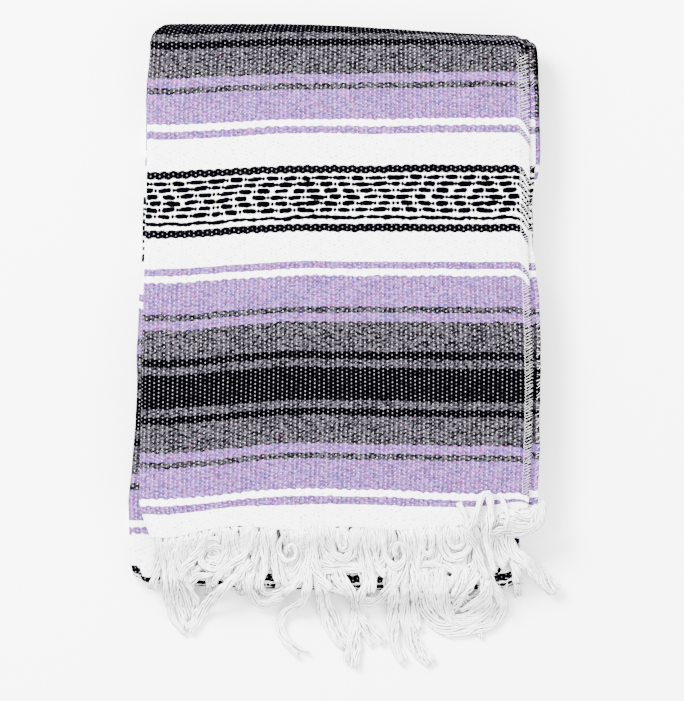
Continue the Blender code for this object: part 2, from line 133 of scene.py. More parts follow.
# How the cloth is laid: where, along it and across it, its picks leave their even places, and how far
END_EASE = 30 * MM
END_PICK = 0.9
BOW_STOP = 330 * MM
BOW_EASE = 90 * MM
UNDER_EASE = 19.4 * MM
UNDER_START = 455 * MM
UNDER_RUN = 400 * MM
LIP_START = 895 * MM
LIP_EASE = 20 * MM
CORNER_START = -140 * MM
CORNER_EASE = 25 * MM
CORNER_LOW = 10 * MM
CORNER_TIP = -165 * MM
CORNER_TIP_EASE = 9 * MM
CORNER_LIFT = 11 * MM
CORNER_LIP = 8 * MM

# Stripes from the middle of the patterned band outwards: where each starts (mm) and its yarn
Stripe = namedtuple("Stripe", "start yarn")
STRIPES = (
    Stripe(0.0, "white"),
    Stripe(19.9, "black"),
    Stripe(26.1, "white"),
    Stripe(52.3, "lavender"),
    Stripe(58.8, "white"),
    Stripe(63.9, "lavender"),
    Stripe(89.4, "grey"),
    Stripe(94.6, "lavender"),
    Stripe(101.9, "grey"),
    Stripe(125.0, "black"),
    Stripe(130.9, "grey"),
    Stripe(137.2, "black"),
)

# How high the stripes lie over their even spacing, and how far they sag at the left and the right (mm)
Bow = namedtuple("Bow", "y lift left right")
BOWS = (
    Bow(-134, 1.9, 8.8, 4.6),
    Bow(-118, 1.4, 8.5, 4.0),
    Bow(-85, 0.4, 8.3, 2.4),
    Bow(-52, 0.8, 7.9, 2.2),
    Bow(-13, 0.5, 7.2, 1.9),
    Bow(13, 1.9, 7.2, 0.2),
    Bow(65, 1.7, 6.2, 0.4),
    Bow(91, -0.5, 6.1, 0.6),
    Bow(117, 0.0, 5.3, -0.3),
    Bow(143, 0.5, 5.0, -0.6),
    Bow(175, 0.3, 4.9, -0.8),
    Bow(215, -1.1, 3.8, -2.1),
    Bow(250, -0.5, 3.1, -1.0),
)
BOW_MIDDLE = -37 * MM
BOW_LEFT_RUN = 114 * MM
BOW_RIGHT_RUN = 163 * MM
EDGE_DROP_NEAR = 4 * MM
EDGE_DROP_FAR = 12 * MM
EDGE_DROP_Y = (20 * MM, 90 * MM)
EDGE_DROP_START = 139 * MM
EDGE_DROP_RUN = 10.5 * MM

# Soft troughs (below 0) and ridges in the front ply: middle, length, width, turn in degrees, depth (mm)
Crease = namedtuple("Crease", "x y length width turn depth")
CREASES = (
    Crease(-120, -96, 60, 16, 12, -0.8),
    Crease(-40, -118, 44, 12, -14, 0.7),
    Crease(62, -126, 52, 13, 8, -0.9),
    Crease(118, -112, 40, 11, 40, 1.2),
    Crease(132, -60, 70, 9, 84, -0.7),
    Crease(-148, 30, 90, 10, 88, -0.6),
    Crease(96, 122, 34, 12, 20, 0.8),
    Crease(-70, 178, 80, 14, 4, -0.5),
    Crease(30, 60, 100, 22, 6, 0.5),
    Crease(-20, -30, 120, 26, -5, -0.5),
)

# Hidden plies at the right side, top to bottom: its strip, the kind of its edge, its layers of cloth, how far
# it stands out near the fringe, at the waist and near the crest, and the shift of its stripes (mm)
Ply = namedtuple("Ply", "strip edge layers near waist far shift")
PLIES = (
    Ply("first", "serged", 1, 7.4, 2.6, 5.2, 0),
    Ply("first", "fold", 2, 6.4, 4.0, 8.4, 37),
    Ply("second", "fold", 2, 5.4, 3.0, 6.0, 20),
    Ply("second", "serged", 1, 4.5, 2.5, 4.5, 12),
    Ply("second", "outer", 1, 2.0, 2.0, 2.0, 10),
    Ply("third", "outer", 1, 0.5, 0.5, 0.5, -22),
    Ply("third", "serged", 1, -1.0, -1.0, -1.0, -18),
    Ply("third", "fold", 2, 1.0, 1.0, 1.0, -25),
    Ply("fourth", "fold", 2, -0.5, -0.5, -0.5, 16),
    Ply("fourth", "serged", 1, -2.0, -2.0, -2.0, 22),
)
UPPER_STRIPS = ("first", "second")
WAIST = (40, 92, 116, 150)
PLY_DEPTH = 30 * MM
PLY_GAP = 0.3 * MM

# Rolled left sides of the hidden strips: middle height, half height, edge, its shift, the stripes' shift (mm)
Roll = namedtuple("Roll", "name middle half column reach shift")
ROLLS = (
    Roll("second", 26.0, 5.1, "front_left", 1.5, -14),
    Roll("third", 15.6, 4.9, "middle_left", 0.0, 930.8),
    Roll("first_inside", 36.4, 2.5, "front_left", 3.2, 0),
    Roll("fourth_inside", 5.2, 2.5, "middle_left", 3.2, 10),
)

# Filling of the pile: how far it keeps inside the cloth and, on its flat stretch and at the crest, inside the
# side edges, where it follows the crest and the fringed ends, and the tongue inside the near turn
FILLING_INSET = CLOTH + 0.5 * MM
FILLING_LEFT = (12 * MM, 18 * MM)
FILLING_RIGHT = (8 * MM, 12 * MM)
FILLING_FAR_START = 180 * MM
FILLING_FAR_RUN = 63 * MM
FILLING_NEAR_RUN = 60 * MM
TONGUE_SIDES = (-160 * MM, 124 * MM)
FILLING_FLAT_END = 243.3 * MM
FILLING_TURNS = (0.3, 0.55, 0.75, 0.9, 0.97)
RING_HALF = 12

# Fringe: its yarns, how they lie in a lock, and how the locks lie on the near turn, hang and settle
YARN = 1.08 * MM
FLOOR_CLEARANCE = 0.4 * MM
LEVEL = 2.3 * MM
HANG_ANGLE = math.radians(50)
FALL_RUN = 23 * MM
YARN_STOPS = 38
YARN_SIDES = 5
YARN_OFFSET = 37.0
YARNS_ACROSS = 2.1
LOCK_TWIST = 70 * MM
STRAY_SHARE = 0.15
STRAY = 1.1 * MM
WIGGLE = 0.35 * MM
END_UNEVEN = 0.03
SIDE_AT_Y = (-170 * MM, -150 * MM)
SIDE_AT_X = (139 * MM, 158 * MM)
SETTLED_Y = -206 * MM
SETTLED_RUN = 16 * MM
SETTLED_LIFT = 3.6 * MM
ROOT_LEVEL = 0.5 * MM
OVER_CLEARANCE = 0.8 * MM
SIDE_FALL = 3.0 * MM

# Locks of the upper fringe: name, width (mm), how high it lies over the others, and the points it passes (mm)
Lock = namedtuple("Lock", "name width level points")
HANGING_LOCKS = (
    Lock("left_outer", 6, 1, (
        (-153, -157), (-149, -173), (-147, -192), (-145, -207), (-140, -223), (-130, -235))),
    Lock("left_main", 8, 1, ((-148, -158), (-143, -175), (-140, -195), (-135, -215), (-129, -233))),
    Lock("left_inner", 7, 1, ((-138, -158), (-135, -175), (-129, -193), (-122, -208), (-125, -219))),
    Lock("left_back", 8, 0, ((-143, -158), (-136, -185), (-130, -206), (-128, -223))),
    Lock("left_sweep", 10, 2, (
        (-77, -174), (-87, -184), (-97, -194), (-107, -204), (-116, -214), (-124, -225), (-129, -233))),
    Lock("bulge", 9, 1, (
        (-86, -170), (-81, -188), (-77, -201), (-69, -209), (-58, -206), (-46, -196), (-36, -184))),
    Lock("bulge_inner", 7, 0, ((-72, -176), (-71, -190), (-66, -200), (-56, -201), (-46, -192))),
    Lock("curl", 7, 2, (
        (-31, -178), (-32, -197), (-37, -209), (-48, -214), (-53, -222), (-54, -232), (-48, -242),
        (-37, -253))),
    Lock("curl_split", 4, 2, (
        (-28, -180), (-30, -199), (-36, -212), (-47, -217), (-51, -226), (-49, -235), (-39, -245),
        (-28, -249))),
    Lock("middle_left", 8, 1, (
        (-24, -176), (-22, -197), (-20, -212), (-14, -226), (-7, -238), (1, -246))),
    Lock("middle_right", 6, 1, ((-18, -190), (-15, -205), (-9, -218), (-3, -231), (4, -240))),
    Lock("small_loop", 5, 1, ((-20, -190), (-12, -197), (0, -201), (8, -206))),
    Lock("tassel", 9, 2, ((-6, -181), (-1, -191), (7, -203), (9, -218), (8, -242), (8, -263))),
    Lock("tassel_left", 6, 1, ((-10, -186), (-3, -196), (5, -206), (6, -222), (2, -245), (0, -258))),
    Lock("tassel_branch", 8, 2, ((18, -190), (13, -201), (10, -211), (14, -221), (23, -229), (32, -242))),
    Lock("tassel_twig", 7, 1, ((9, -206), (12, -224), (17, -235), (22, -244))),
    Lock("filled_loop", 9, 1, ((3, -196), (10, -205), (21, -208), (31, -203), (38, -195), (46, -184))),
    Lock("hanging_a", 10, 2, ((39, -176), (39, -197), (39, -230), (42, -246), (48, -258))),
    Lock("hanging_b", 11, 1, ((48, -172), (48, -197), (49, -222), (54, -238), (62, -250), (72, -260))),
    Lock("hanging_c", 9, 2, ((57, -174), (57, -201), (57, -222), (60, -232))),
    Lock("u_loop", 11, 1, (
        (64, -180), (65, -199), (66, -214), (72, -224), (82, -230), (93, -231), (105, -229),
        (116, -228), (124, -222),
        (129, -213), (126, -203), (119, -193), (113, -182))),
    Lock("u_inner", 10, 2, (
        (74, -180), (77, -197), (81, -213), (89, -221), (101, -219), (110, -211), (115, -200), (114, -187))),
    Lock("u_nest_a", 8, 1, (
        (71, -186), (73, -204), (80, -218), (92, -226), (106, -224), (117, -218), (124, -208))),
    Lock("u_nest_b", 7, 2, (
        (68, -196), (73, -210), (84, -222), (98, -225), (110, -218), (117, -206), (114, -194))),
    Lock("u_back", 12, 0, ((86, -190), (93, -203), (102, -209), (111, -203), (114, -192))),
    Lock("u_post", 7, 2, ((79, -180), (80, -193), (83, -208), (88, -220))),
    Lock("u_strut_a", 6, 2, ((109, -184), (101, -196), (93, -206), (88, -216))),
    Lock("u_strut_b", 6, 2, ((117, -189), (111, -201), (103, -209), (93, -215))),
    Lock("u_strut_c", 6, 1, ((100, -188), (92, -198), (86, -208))),
    Lock("u_tip", 5, 0, ((106, -222), (109, -230), (111, -238))),
    Lock("right_tassel", 12, 2, (
        (128, -150), (133, -161), (138, -169), (145, -173), (152, -178), (160, -186), (167, -194),
        (174, -199))),
    Lock("right_tassel_low", 11, 1, (
        (134, -158), (140, -169), (148, -176), (155, -184), (162, -193), (170, -200))),
    Lock("right_tuft", 9, 3, ((132, -141), (141, -145), (150, -147), (157, -142), (160, -133), (157, -126))),
    Lock("right_tuft_low", 9, 3, (
        (130, -148), (139, -151), (148, -150), (154, -143), (156, -134), (152, -129))),
    Lock("right_tuft_back", 12, 0, ((126, -138), (136, -139), (146, -139), (152, -136))),
    Lock("right_tuft_fold", 8, 2, ((132, -133), (141, -136), (149, -137), (155, -131))),
    Lock("up_turned", 7, 4, (
        (99, -148), (104, -140), (108, -130), (111, -121), (116, -119), (118, -128), (117, -142), (115, -156),
        (118, -171), (122, -184))),
    Lock("up_cross", 6, 3, ((92, -126), (98, -138), (101, -152), (107, -165), (112, -178), (117, -189))),
    Lock("up_short", 6, 4, ((124, -119), (129, -128), (132, -139), (131, -150))),
    Lock("up_band", 7, 3, ((112, -152), (122, -150), (132, -147), (140, -145))),
)
TANGLED_LOCKS = (
    Lock("sheet_a", 9, 1, ((-134, -156), (-138, -168), (-141, -180), (-138, -192))),
    Lock("sheet_b", 9, 0, ((-126, -154), (-130, -167), (-134, -180), (-128, -192))),
    Lock("left_cross", 8, 2, ((-116, -151), (-118, -162), (-124, -172), (-132, -181), (-135, -191))),
    Lock("oval", 7, 2, (
        (-114, -152), (-117, -163), (-118, -173), (-112, -180), (-104, -180), (-99, -173), (-97, -162),
        (-99, -151))),
    Lock("oval_fold_a", 6, 1, ((-116, -158), (-109, -156), (-102, -158))),
    Lock("oval_fold_b", 7, 1, (
        (-115, -165), (-109, -162), (-102, -164), (-102, -170), (-109, -173), (-114, -170))),
    Lock("oval_fold_c", 6, 1, ((-115, -177), (-109, -174), (-103, -176))),
    Lock("under_oval", 6, 1, ((-127, -192), (-120, -187), (-110, -185), (-100, -180), (-92, -175))),
    Lock("drop_a", 7, 1, ((-98, -151), (-98, -163), (-95, -175), (-97, -188))),
    Lock("drop_b", 7, 1, ((-90, -151), (-91, -162), (-88, -172), (-82, -181))),
    Lock("drop_c", 7, 0, ((-83, -150), (-85, -161), (-83, -171), (-76, -178))),
    Lock("slope_a", 7, 2, ((-74, -148), (-77, -160), (-84, -170), (-94, -178), (-103, -185), (-109, -193))),
    Lock("fan_a", 7, 1, ((-71, -150), (-73, -165), (-75, -180), (-80, -195))),
    Lock("fan_b", 8, 2, ((-66, -148), (-66, -165), (-67, -182), (-71, -199))),
    Lock("fan_c", 8, 1, ((-60, -150), (-58, -168), (-53, -184), (-47, -197))),
    Lock("swirl", 5, 3, (
        (-47, -150), (-53, -157), (-54, -166), (-49, -173), (-42, -172), (-40, -165), (-44, -160),
        (-48, -164),
        (-46, -168))),
    Lock("swirl_side", 7, 1, ((-45, -149), (-41, -158), (-37, -168), (-40, -180), (-48, -189))),
    Lock("band_a", 6, 1, ((-42, -151), (-36, -153), (-29, -151))),
    Lock("band_b", 6, 0, ((-42, -159), (-36, -160), (-30, -158))),
    Lock("curl_root_left", 8, 2, (
        (-31, -143), (-28, -155), (-29, -168), (-33, -181), (-41, -193), (-52, -202))),
    Lock("curl_root_right", 8, 2, ((-25, -144), (-25, -158), (-25, -172), (-20, -187), (-11, -198))),
    Lock("beside_curl", 8, 1, ((-19, -145), (-19, -158), (-15, -169), (-8, -176))),
    Lock("big_u", 8, 2, ((-13, -146), (-12, -158), (-9, -168), (-2, -172), (5, -168), (7, -158), (6, -147))),
    Lock("inner_u", 6, 2, ((-6, -147), (-6, -156), (-4, -164), (1, -163), (2, -156), (0, -147))),
    Lock("across_a", 6, 1, ((-24, -175), (-10, -177), (4, -177), (14, -179))),
    Lock("across_b", 6, 1, ((-24, -182), (-8, -182), (6, -181), (18, -182))),
    Lock("post_a", 8, 1, ((10, -147), (10, -160), (12, -172), (16, -186), (18, -199))),
    Lock("post_b", 8, 2, ((16, -147), (17, -160), (19, -174), (22, -188), (20, -201))),
    Lock("post_c", 8, 1, ((24, -145), (25, -156), (24, -168), (27, -180), (34, -185))),
    Lock("snail", 6, 3, (
        (31, -147), (31, -160), (34, -172), (41, -179), (48, -173), (48, -163), (43, -159), (40, -165),
        (42, -172))),
    Lock("snail_side", 7, 1, ((37, -146), (38, -156), (36, -166), (30, -176), (25, -184))),
    Lock("lean_a", 8, 2, ((48, -145), (50, -160), (50, -173), (46, -184), (37, -195), (28, -202))),
    Lock("post_d", 9, 1, ((56, -145), (56, -160), (58, -174), (61, -190), (62, -200))),
    Lock("post_e", 7, 2, ((60, -145), (63, -157), (61, -168), (58, -180))),
    Lock("loop_a", 6, 2, ((65, -145), (62, -156), (64, -166), (69, -168), (71, -160), (69, -148))),
    Lock("loop_b", 7, 1, ((72, -145), (75, -155), (78, -165), (76, -176))),
    Lock("deep_u", 8, 2, (
        (76, -146), (78, -160), (83, -169), (91, -171), (99, -166), (101, -156), (97, -146))),
    Lock("deep_u_inner", 6, 2, ((84, -147), (84, -158), (88, -163), (94, -162), (96, -156), (92, -147))),
    Lock("deep_u_back", 9, 0, ((87, -145), (90, -156), (90, -168))),
    Lock("across_c", 8, 1, ((60, -177), (72, -176), (84, -179), (94, -184))),
    Lock("across_d", 7, 1, ((60, -184), (72, -184), (82, -188), (88, -194))),
    Lock("reach_a", 7, 1, ((68, -180), (67, -190), (63, -198))),
    Lock("reach_b", 8, 2, ((79, -181), (78, -192), (74, -202))),
    Lock("reach_c", 7, 1, ((92, -181), (86, -192), (80, -201))),
    Lock("reach_d", 8, 2, ((99, -179), (95, -191), (87, -204))),
    Lock("reach_e", 6, 1, ((107, -179), (101, -188), (95, -201))),
    Lock("white_mass_a", 10, 1, ((112, -150), (115, -162), (122, -172), (131, -178))),
    Lock("white_mass_b", 10, 1, ((121, -153), (122, -162), (127, -169), (134, -173))),
    Lock("white_mass_c", 10, 0, ((106, -150), (108, -166), (115, -178), (123, -183))),
    Lock("white_mass_d", 8, 1, ((104, -146), (106, -160), (108, -174), (113, -186))),
)
FILL_LOCKS = 56
LOW_LOCKS = 26
FILL_YARN = 1.05
# Stretches of the near turn (mm) where its black stripe shows, so that no hidden lock's tip covers them
CLEAR_OF_LOCKS = (
    (-122, -111), (-109, -99), (-67, -57), (-21, -15), (-6, 13), (25, 32), (101, 110), (121, 139),
)

# Overlock stitches on the serged edges: where they start and stop along the edges (mm), and their sizes
STITCH_SPANS = ((-124, 60), (60, 150), (150, 238))
INNER_NEAR_UPPER = -128
INNER_NEAR_LOWER = -150
INNER_FAR = 236
SERGED_X = 150 * MM
SERGED_CREASE_X = 146 * MM
STITCH_STEP = 2.3 * MM
STITCH_NEAR = 5.4 * MM
STITCH_FAR = 7.8 * MM
STITCH_RISE = 3.0 * MM
THREAD = 0.16 * MM
INNER_STITCH = 3.4 * MM
INNER_STEP = 3.9 * MM
INNER_THREAD = 0.2 * MM
LOOPER_THREAD = 0.11 * MM
LOOPER_SPAN = (-122 * MM, 240 * MM)

# Camera, surround and lights: place, size across and power in watts
CAMERA_HEIGHT = 10.0
SENSOR = 36.0
VIEW_WIDTH = 556.8 * MM
VIEW_MIDDLE = (-2.85 * MM, -2.44 * MM)
SURROUND = 3.6
Lamp = namedtuple("Lamp", "name place size power")
LAMPS = (Lamp("key", (-1.4, 1.6, 2.2), 1.3, 540.0), Lamp("fill", (1.6, -1.2, 2.4), 1.8, 90.0))


def smooth(t):
    """Ease from 0 to 1: 3 t^2 - 2 t^3, flat outside."""
    t = np.clip(t, 0.0, 1.0)
    return t * t * (3.0 - 2.0 * t)


def ripple(x, y, run, seed):
    """Soft unevenness, mostly within -1 and 1: a quarter of the sum of seven sine waves, each with its own way,
    phase and length, drawn once."""
    draw = np.random.default_rng(seed)
    total = 0.0
    for _ in range(7):
        angle, phase, scale = draw.uniform(0, 2 * math.pi), draw.uniform(0, 2 * math.pi), draw.uniform(0.6, 1.6)
        total = total + np.sin((x * math.cos(angle) + y * math.sin(angle)) / (run * scale) + phase)
    return total / 4.0


def read(table, column, y):
    """A column of a table in mm whose rows have a y, read in metres and between its rows."""
    return np.interp(y, [row.y * MM for row in table], [getattr(row, column) * MM for row in table])


def edge_at(column, y):
    """x of one of the pile's side edges."""
    return read(EDGES, column, y)


def corner_cut(beyond):
    """Share of a round corner's radius that is cut away, from 0 where it starts to near 1 at its side."""
    return 1 - np.sqrt(1 - ROUNDEST * np.clip(beyond, 0.0, 1.0) ** 2)


def crest_y(x):
    """Far end of the pile, which slopes back to the right."""
    return CREST_Y - CREST_SLOPE * smooth((x - CREST_SLOPE_START) / CREST_SLOPE_RUN)


def turn_y(x):
    """Near end of the pile: a shallow bow with round corners."""
    bow = TURN_Y + TURN_BOW * ((x - TURN_MIDDLE) / TURN_HALF) ** 2
    beyond = np.maximum(TURN_CORNER_LEFT - x, x - TURN_CORNER_RIGHT) / TURN_CORNER
    return bow + TURN_CORNER * corner_cut(beyond)


def end_shift(x):
    """How far the fringed ends sit from their middle line: they rise at the right and drop at the left."""
    rise = END_RISE * smooth((x - END_RISE_START) / END_RISE_RUN)
    return rise - END_DROP * smooth((END_DROP_START - x) / END_DROP_RUN)


def front_end_y(x):
    """Woven end of the front ply."""
    return FRONT_END_Y + FRONT_SCALLOP * np.cos(x / FRONT_SCALLOP_RUN) + end_shift(x)


def crest_inset(y, x):
    """How far the rounded corners of the crest cut in at this place."""
    return CREST_CORNER * corner_cut(1 - (crest_y(x) - y) / CREST_CORNER)


def stripe_bow(x, y):
    """How far a stripe lies above its middle height: it sags at the left, and at the serged right edge."""
    from_left = smooth((BOW_MIDDLE - x) / BOW_LEFT_RUN)
    from_right = smooth((x - BOW_MIDDLE) / BOW_RIGHT_RUN)
    most = np.interp(y, EDGE_DROP_Y, [EDGE_DROP_NEAR, EDGE_DROP_FAR])
    drop = most * np.clip((x - EDGE_DROP_START) / EDGE_DROP_RUN, 0, 1) ** 2
    sag = read(BOWS, "left", y) * from_left + read(BOWS, "right", y) * from_right
    return read(BOWS, "lift", y) - sag - drop


def wrap(run, x):
    """Place on the outer ply where a length of cloth from y = 0 has been laid at this x: flat on top up to the
    crest's centre, round the crest's half circle, flat underneath, round the near turn and back on its lip.
    Returns y, z, the outward normal's y and z, and how far round the crest it is, from 0 to 1."""
    crest = crest_y(x) - CREST_RADIUS
    turn = turn_y(x) + TURN_RADIUS
    arc = math.pi * CREST_RADIUS
    bend = math.pi * TURN_RADIUS
    past_crest = run - crest
    past_turn = past_crest - arc - (crest - turn)
    around = np.clip(past_crest / CREST_RADIUS, 0, math.pi)
    bending = np.clip(past_turn / TURN_RADIUS, 0, math.pi)
    y = np.where(past_crest < 0, run, crest + CREST_RADIUS * np.sin(around))
    z = CREST_RADIUS * (1 + np.cos(around))
    y = np.where(past_crest > arc, crest - (past_crest - arc), y)
    y = np.where(past_turn > 0, turn - TURN_RADIUS * np.sin(bending), y)
    z = np.where(past_turn > 0, TURN_RADIUS * (1 - np.cos(bending)), z)
    y = np.where(past_turn > bend, turn + past_turn - bend, y)
    normal_y = np.where(past_turn > 0, -np.sin(bending), np.sin(around))
    normal_z = np.where(past_turn > 0, -np.cos(bending), np.cos(around))
    return y, z, normal_y, normal_z, np.clip(past_crest / arc, 0, 1)


def cloth_run(picks, x):
    """Length of cloth laid from y = 0 at this pick. The picks follow the stripes' bow on top, and the woven
    end's own line near the fringe. Underneath they are drawn out a little, and come to lie along the turn.
    They sag at the left corner of the turn, rise at its tip, and rise on the lip behind it."""
    laid = picks * PICK
    plain = FRONT_END_Y + laid
    run = plain + stripe_bow(x, plain) * smooth((BOW_STOP - plain) / BOW_EASE)
    near_end = smooth(1 - laid / END_EASE)
    run = (1 - near_end) * run + near_end * (front_end_y(x) + laid * END_PICK)
    away = smooth((laid - LIP_START) / LIP_EASE)
    from_side = smooth((CORNER_START - x) / CORNER_EASE)
    at_turn = CORNER_LOW * from_side - CORNER_LIFT * smooth((CORNER_TIP - x) / CORNER_TIP_EASE)
    corner = (1 - away) * at_turn - away * CORNER_LIP * from_side
    beside_turn = 2 * (crest_y(x) - crest_y(0.0)) - (1 + away) * (turn_y(x) - turn_y(0.0)) - corner
    return run + (UNDER_EASE + beside_turn) * smooth((laid - UNDER_START) / UNDER_RUN)


def waves(x, y):
    """Low waves of the front ply, from 0 to WAVE_HEIGHT: one sine wave times another at an angle to it."""
    return WAVE_HEIGHT / 2 * (1 + np.sin(x / MM / 31 + y / MM / 52) * np.cos(y / MM / 40 - x / MM / 85))


def creases(x, y):
    """Sum of the listed troughs and ridges: a bell along each one's length times a bell across it."""
    height = 0.0
    for crease in CREASES:
        turn = math.radians(crease.turn)
        dx, dy = x - crease.x * MM, y - crease.y * MM
        along = (dx * math.cos(turn) + dy * math.sin(turn)) / (crease.length * MM / 2)
        across = (dy * math.cos(turn) - dx * math.sin(turn)) / (crease.width * MM / 2)
        height = height + crease.depth * MM * np.exp(-(along**2) - across**2)
    return height


def bead_height(warps, picks):
    """Relief of the weft-faced weave, from 0 to 1: each column of weft floats is a rib between two warps,
    pinched at every second pick, where the warp passes over it, and its neighbours at the picks between."""
    column = np.floor(warps)
    rib = np.abs(np.sin(math.pi * (warps - column))) ** 0.8
    bead = 0.5 - 0.5 * np.cos(math.pi * (picks + column))
    return rib * (0.35 + 0.65 * bead)


def outer_grid(warps, picks):
    """The outer ply's face on a grid of warps (from the right edge) and picks: its points, the same before the
    weave's relief, its normals and its UV map. x runs evenly from the right edge to where the left side's roll
    starts, then round the roll."""
    w, p = np.meshgrid(warps, picks)
    flat = np.minimum(w / FLAT_WARPS, 1.0)
    x = FIRST_RIGHT - FIRST_WIDTH * flat
    for _ in range(4):
        run = cloth_run(p, x)
        y, z, ny, nz, low = wrap(run, x)
        inset = crest_inset(y, x)
        left = (1 - low) * edge_at("front_left", y) + low * edge_at("middle_left", y) + inset
        right = (1 - low) * edge_at("front_right", y) + low * edge_at("low_right", y) - inset
        x = right + (left + EDGE_ROLL - right) * flat
    sway = WARP_SWAY * ripple(w * WARP, p * PICK, 11 * MM, 5)
    drift = PICK_DRIFT * ripple(w * WARP, p * PICK, 9 * MM, 6)
    angle = np.maximum(w - FLAT_WARPS, 0) * WARP / EDGE_ROLL
    x = np.where(angle > 0, left + EDGE_ROLL * (1 - np.sin(angle)), x + sway * (flat < 1))
    top = smooth(-(run - crest_y(x) + CREST_RADIUS + WAVES_END) / WAVES_EASE)
    lift = (waves(x, y) + creases(x, y)) * top - EDGE_ROLL * (1 - np.cos(angle))
    normal = np.stack([-np.sin(angle), ny * np.cos(angle), nz * np.cos(angle)], axis=-1)
    base = np.stack([x, y + drift * nz * top + ny * lift, z + nz * lift], axis=-1)
    relief = (bead_height(w, p) - 0.5) * RELIEF + FACE_UNEVEN * ripple(w * WARP, p * PICK, 4 * MM, 7)
    relief = np.where(nz < -0.5, 0.0, relief)
    return base + normal * relief[..., None], base, normal, np.stack([w, p], axis=-1)


def mesh_from(name, points, groups, finish, uv_groups):
    """Mesh object from points, arrays of faces, each with its own number of corners, and their UV maps."""
    mesh = bpy.data.meshes.new(name)
    points = np.asarray(points, np.float32).reshape(-1, 3)
    corners = np.concatenate([group.ravel() for group in groups]).astype(np.int32)
    totals = np.concatenate([np.full(len(group), group.shape[1]) for group in groups])
    starts = np.concatenate([[0], np.cumsum(totals)[:-1]]).astype(np.int32)
    mesh.vertices.add(len(points))
    mesh.vertices.foreach_set("co", points.ravel())
    mesh.loops.add(len(corners))
    mesh.loops.foreach_set("vertex_index", corners)
    mesh.polygons.add(len(totals))
    mesh.polygons.foreach_set("loop_start", starts)
    mesh.polygons.foreach_set("use_smooth", np.ones(len(totals), bool))
    layer = mesh.uv_layers.new(name=WEAVE_MAP)
    values = np.concatenate([group.reshape(-1, 2) for group in uv_groups]).astype(np.float32)
    layer.data.foreach_set("uv", values.ravel())
    mesh.update(calc_edges=True)
    mesh.validate()
    mesh.materials.append(finish)
    made = bpy.data.objects.new(name, mesh)
    bpy.context.scene.collection.objects.link(made)
    return made


def quads(rows, columns, start=0, flip=False):
    """Faces of a grid of points that is stored row by row."""
    index = start + np.arange(rows * columns).reshape(rows, columns)
    faces = np.stack([index[:-1, :-1], index[:-1, 1:], index[1:, 1:], index[1:, :-1]], axis=-1)
    return faces.reshape(-1, 4)[:, :: -1 if flip else 1]


def cloth_shell(name, grid, finish, row_step, column_step):
    """Closed wall of cloth: the woven face, a plainer inner face on every few rows and columns of it, moved in
    by the cloth's thickness, and a rim of narrow faces between the two."""
    face, base, normal, uv = grid
    rows, columns = face.shape[:2]
    down = np.unique(np.linspace(0, rows - 1, max(2, rows // row_step)).round().astype(int))
    over = np.unique(np.linspace(0, columns - 1, max(2, columns // column_step)).round().astype(int))
    inner = (base - normal * CLOTH)[np.ix_(down, over)]
    count = rows * columns
    outer_index = np.arange(count).reshape(rows, columns)
    inner_index = count + np.arange(len(down) * len(over)).reshape(len(down), len(over))
    groups = [quads(rows, columns), quads(len(down), len(over), count, flip=True)]
    rims = []
    for a, b in zip(range(len(over)), range(1, len(over))):
        span = np.arange(over[a], over[b] + 1)
        rims.append([inner_index[0, a], inner_index[0, b], *outer_index[0, span][::-1]])
        rims.append([inner_index[-1, b], inner_index[-1, a], *outer_index[-1, span]])
    for a, b in zip(range(len(down)), range(1, len(down))):
        span = np.arange(down[a], down[b] + 1)
        rims.append([inner_index[b, 0], inner_index[a, 0], *outer_index[span, 0]])
        rims.append([inner_index[a, -1], inner_index[b, -1], *outer_index[span, -1][::-1]])
    sizes = sorted({len(rim) for rim in rims})
    groups += [np.array([rim for rim in rims if len(rim) == size]) for size in sizes]
    points = np.concatenate([face.reshape(-1, 3), inner.reshape(-1, 3)])
    maps = np.concatenate([uv.reshape(-1, 2), uv[np.ix_(down, over)].reshape(-1, 2)])
    return mesh_from(name, points, groups, finish, [maps[group] for group in groups])


def front_cloth(finish):
    """The front ply, from its fringed end over the upper half of the crest, with its weave in relief."""
    warps = np.arange(2 * FLAT_WARPS + ROLL_HALF_WARPS + 1) / 2
    picks = np.arange(2 * FRONT_PICKS + 1) / 2
    return cloth_shell("front_cloth", outer_grid(warps, picks), finish, 12, 10)


def under_cloth(finish):
    """The same cloth from the crest on: along the underside, round the near turn and back on its lip. Its grid
    is finer from the near turn on, where it shows."""
    warps = np.concatenate([np.arange(FLAT_WARPS + 1), FLAT_WARPS + np.arange(1, ROLL_HALF_WARPS + 1) / 2])
    coarse = np.arange(FRONT_PICKS, FINE_PICKS, 2.0)
    picks = np.concatenate([coarse, np.arange(FINE_PICKS, ALL_PICKS + 0.1, 0.5)])
    return cloth_shell("under_cloth", outer_grid(warps, picks), finish, 3, 3)


def lane(near_turns, stops):
    """Path of a hidden ply along Y: straight, with a quarter circle round the crest's centre line at its far
    end, and one round the near turn's where it has one. Returns the share along the straight, and the angles
    of the two quarter circles, for each stop."""
    far = np.linspace(0, math.pi / 2, 8)[1:]
    near = -np.linspace(0, math.pi / 2, 7)[:0:-1] if near_turns else np.array([])
    along = np.concatenate([np.zeros(len(near)), np.linspace(0, 1, stops), np.ones(len(far))])
    crest_angle = np.concatenate([np.zeros(len(near) + stops), far])
    turn_angle = np.concatenate([near, np.zeros(stops + len(far))])
    return along[:, None], crest_angle[:, None], turn_angle[:, None]


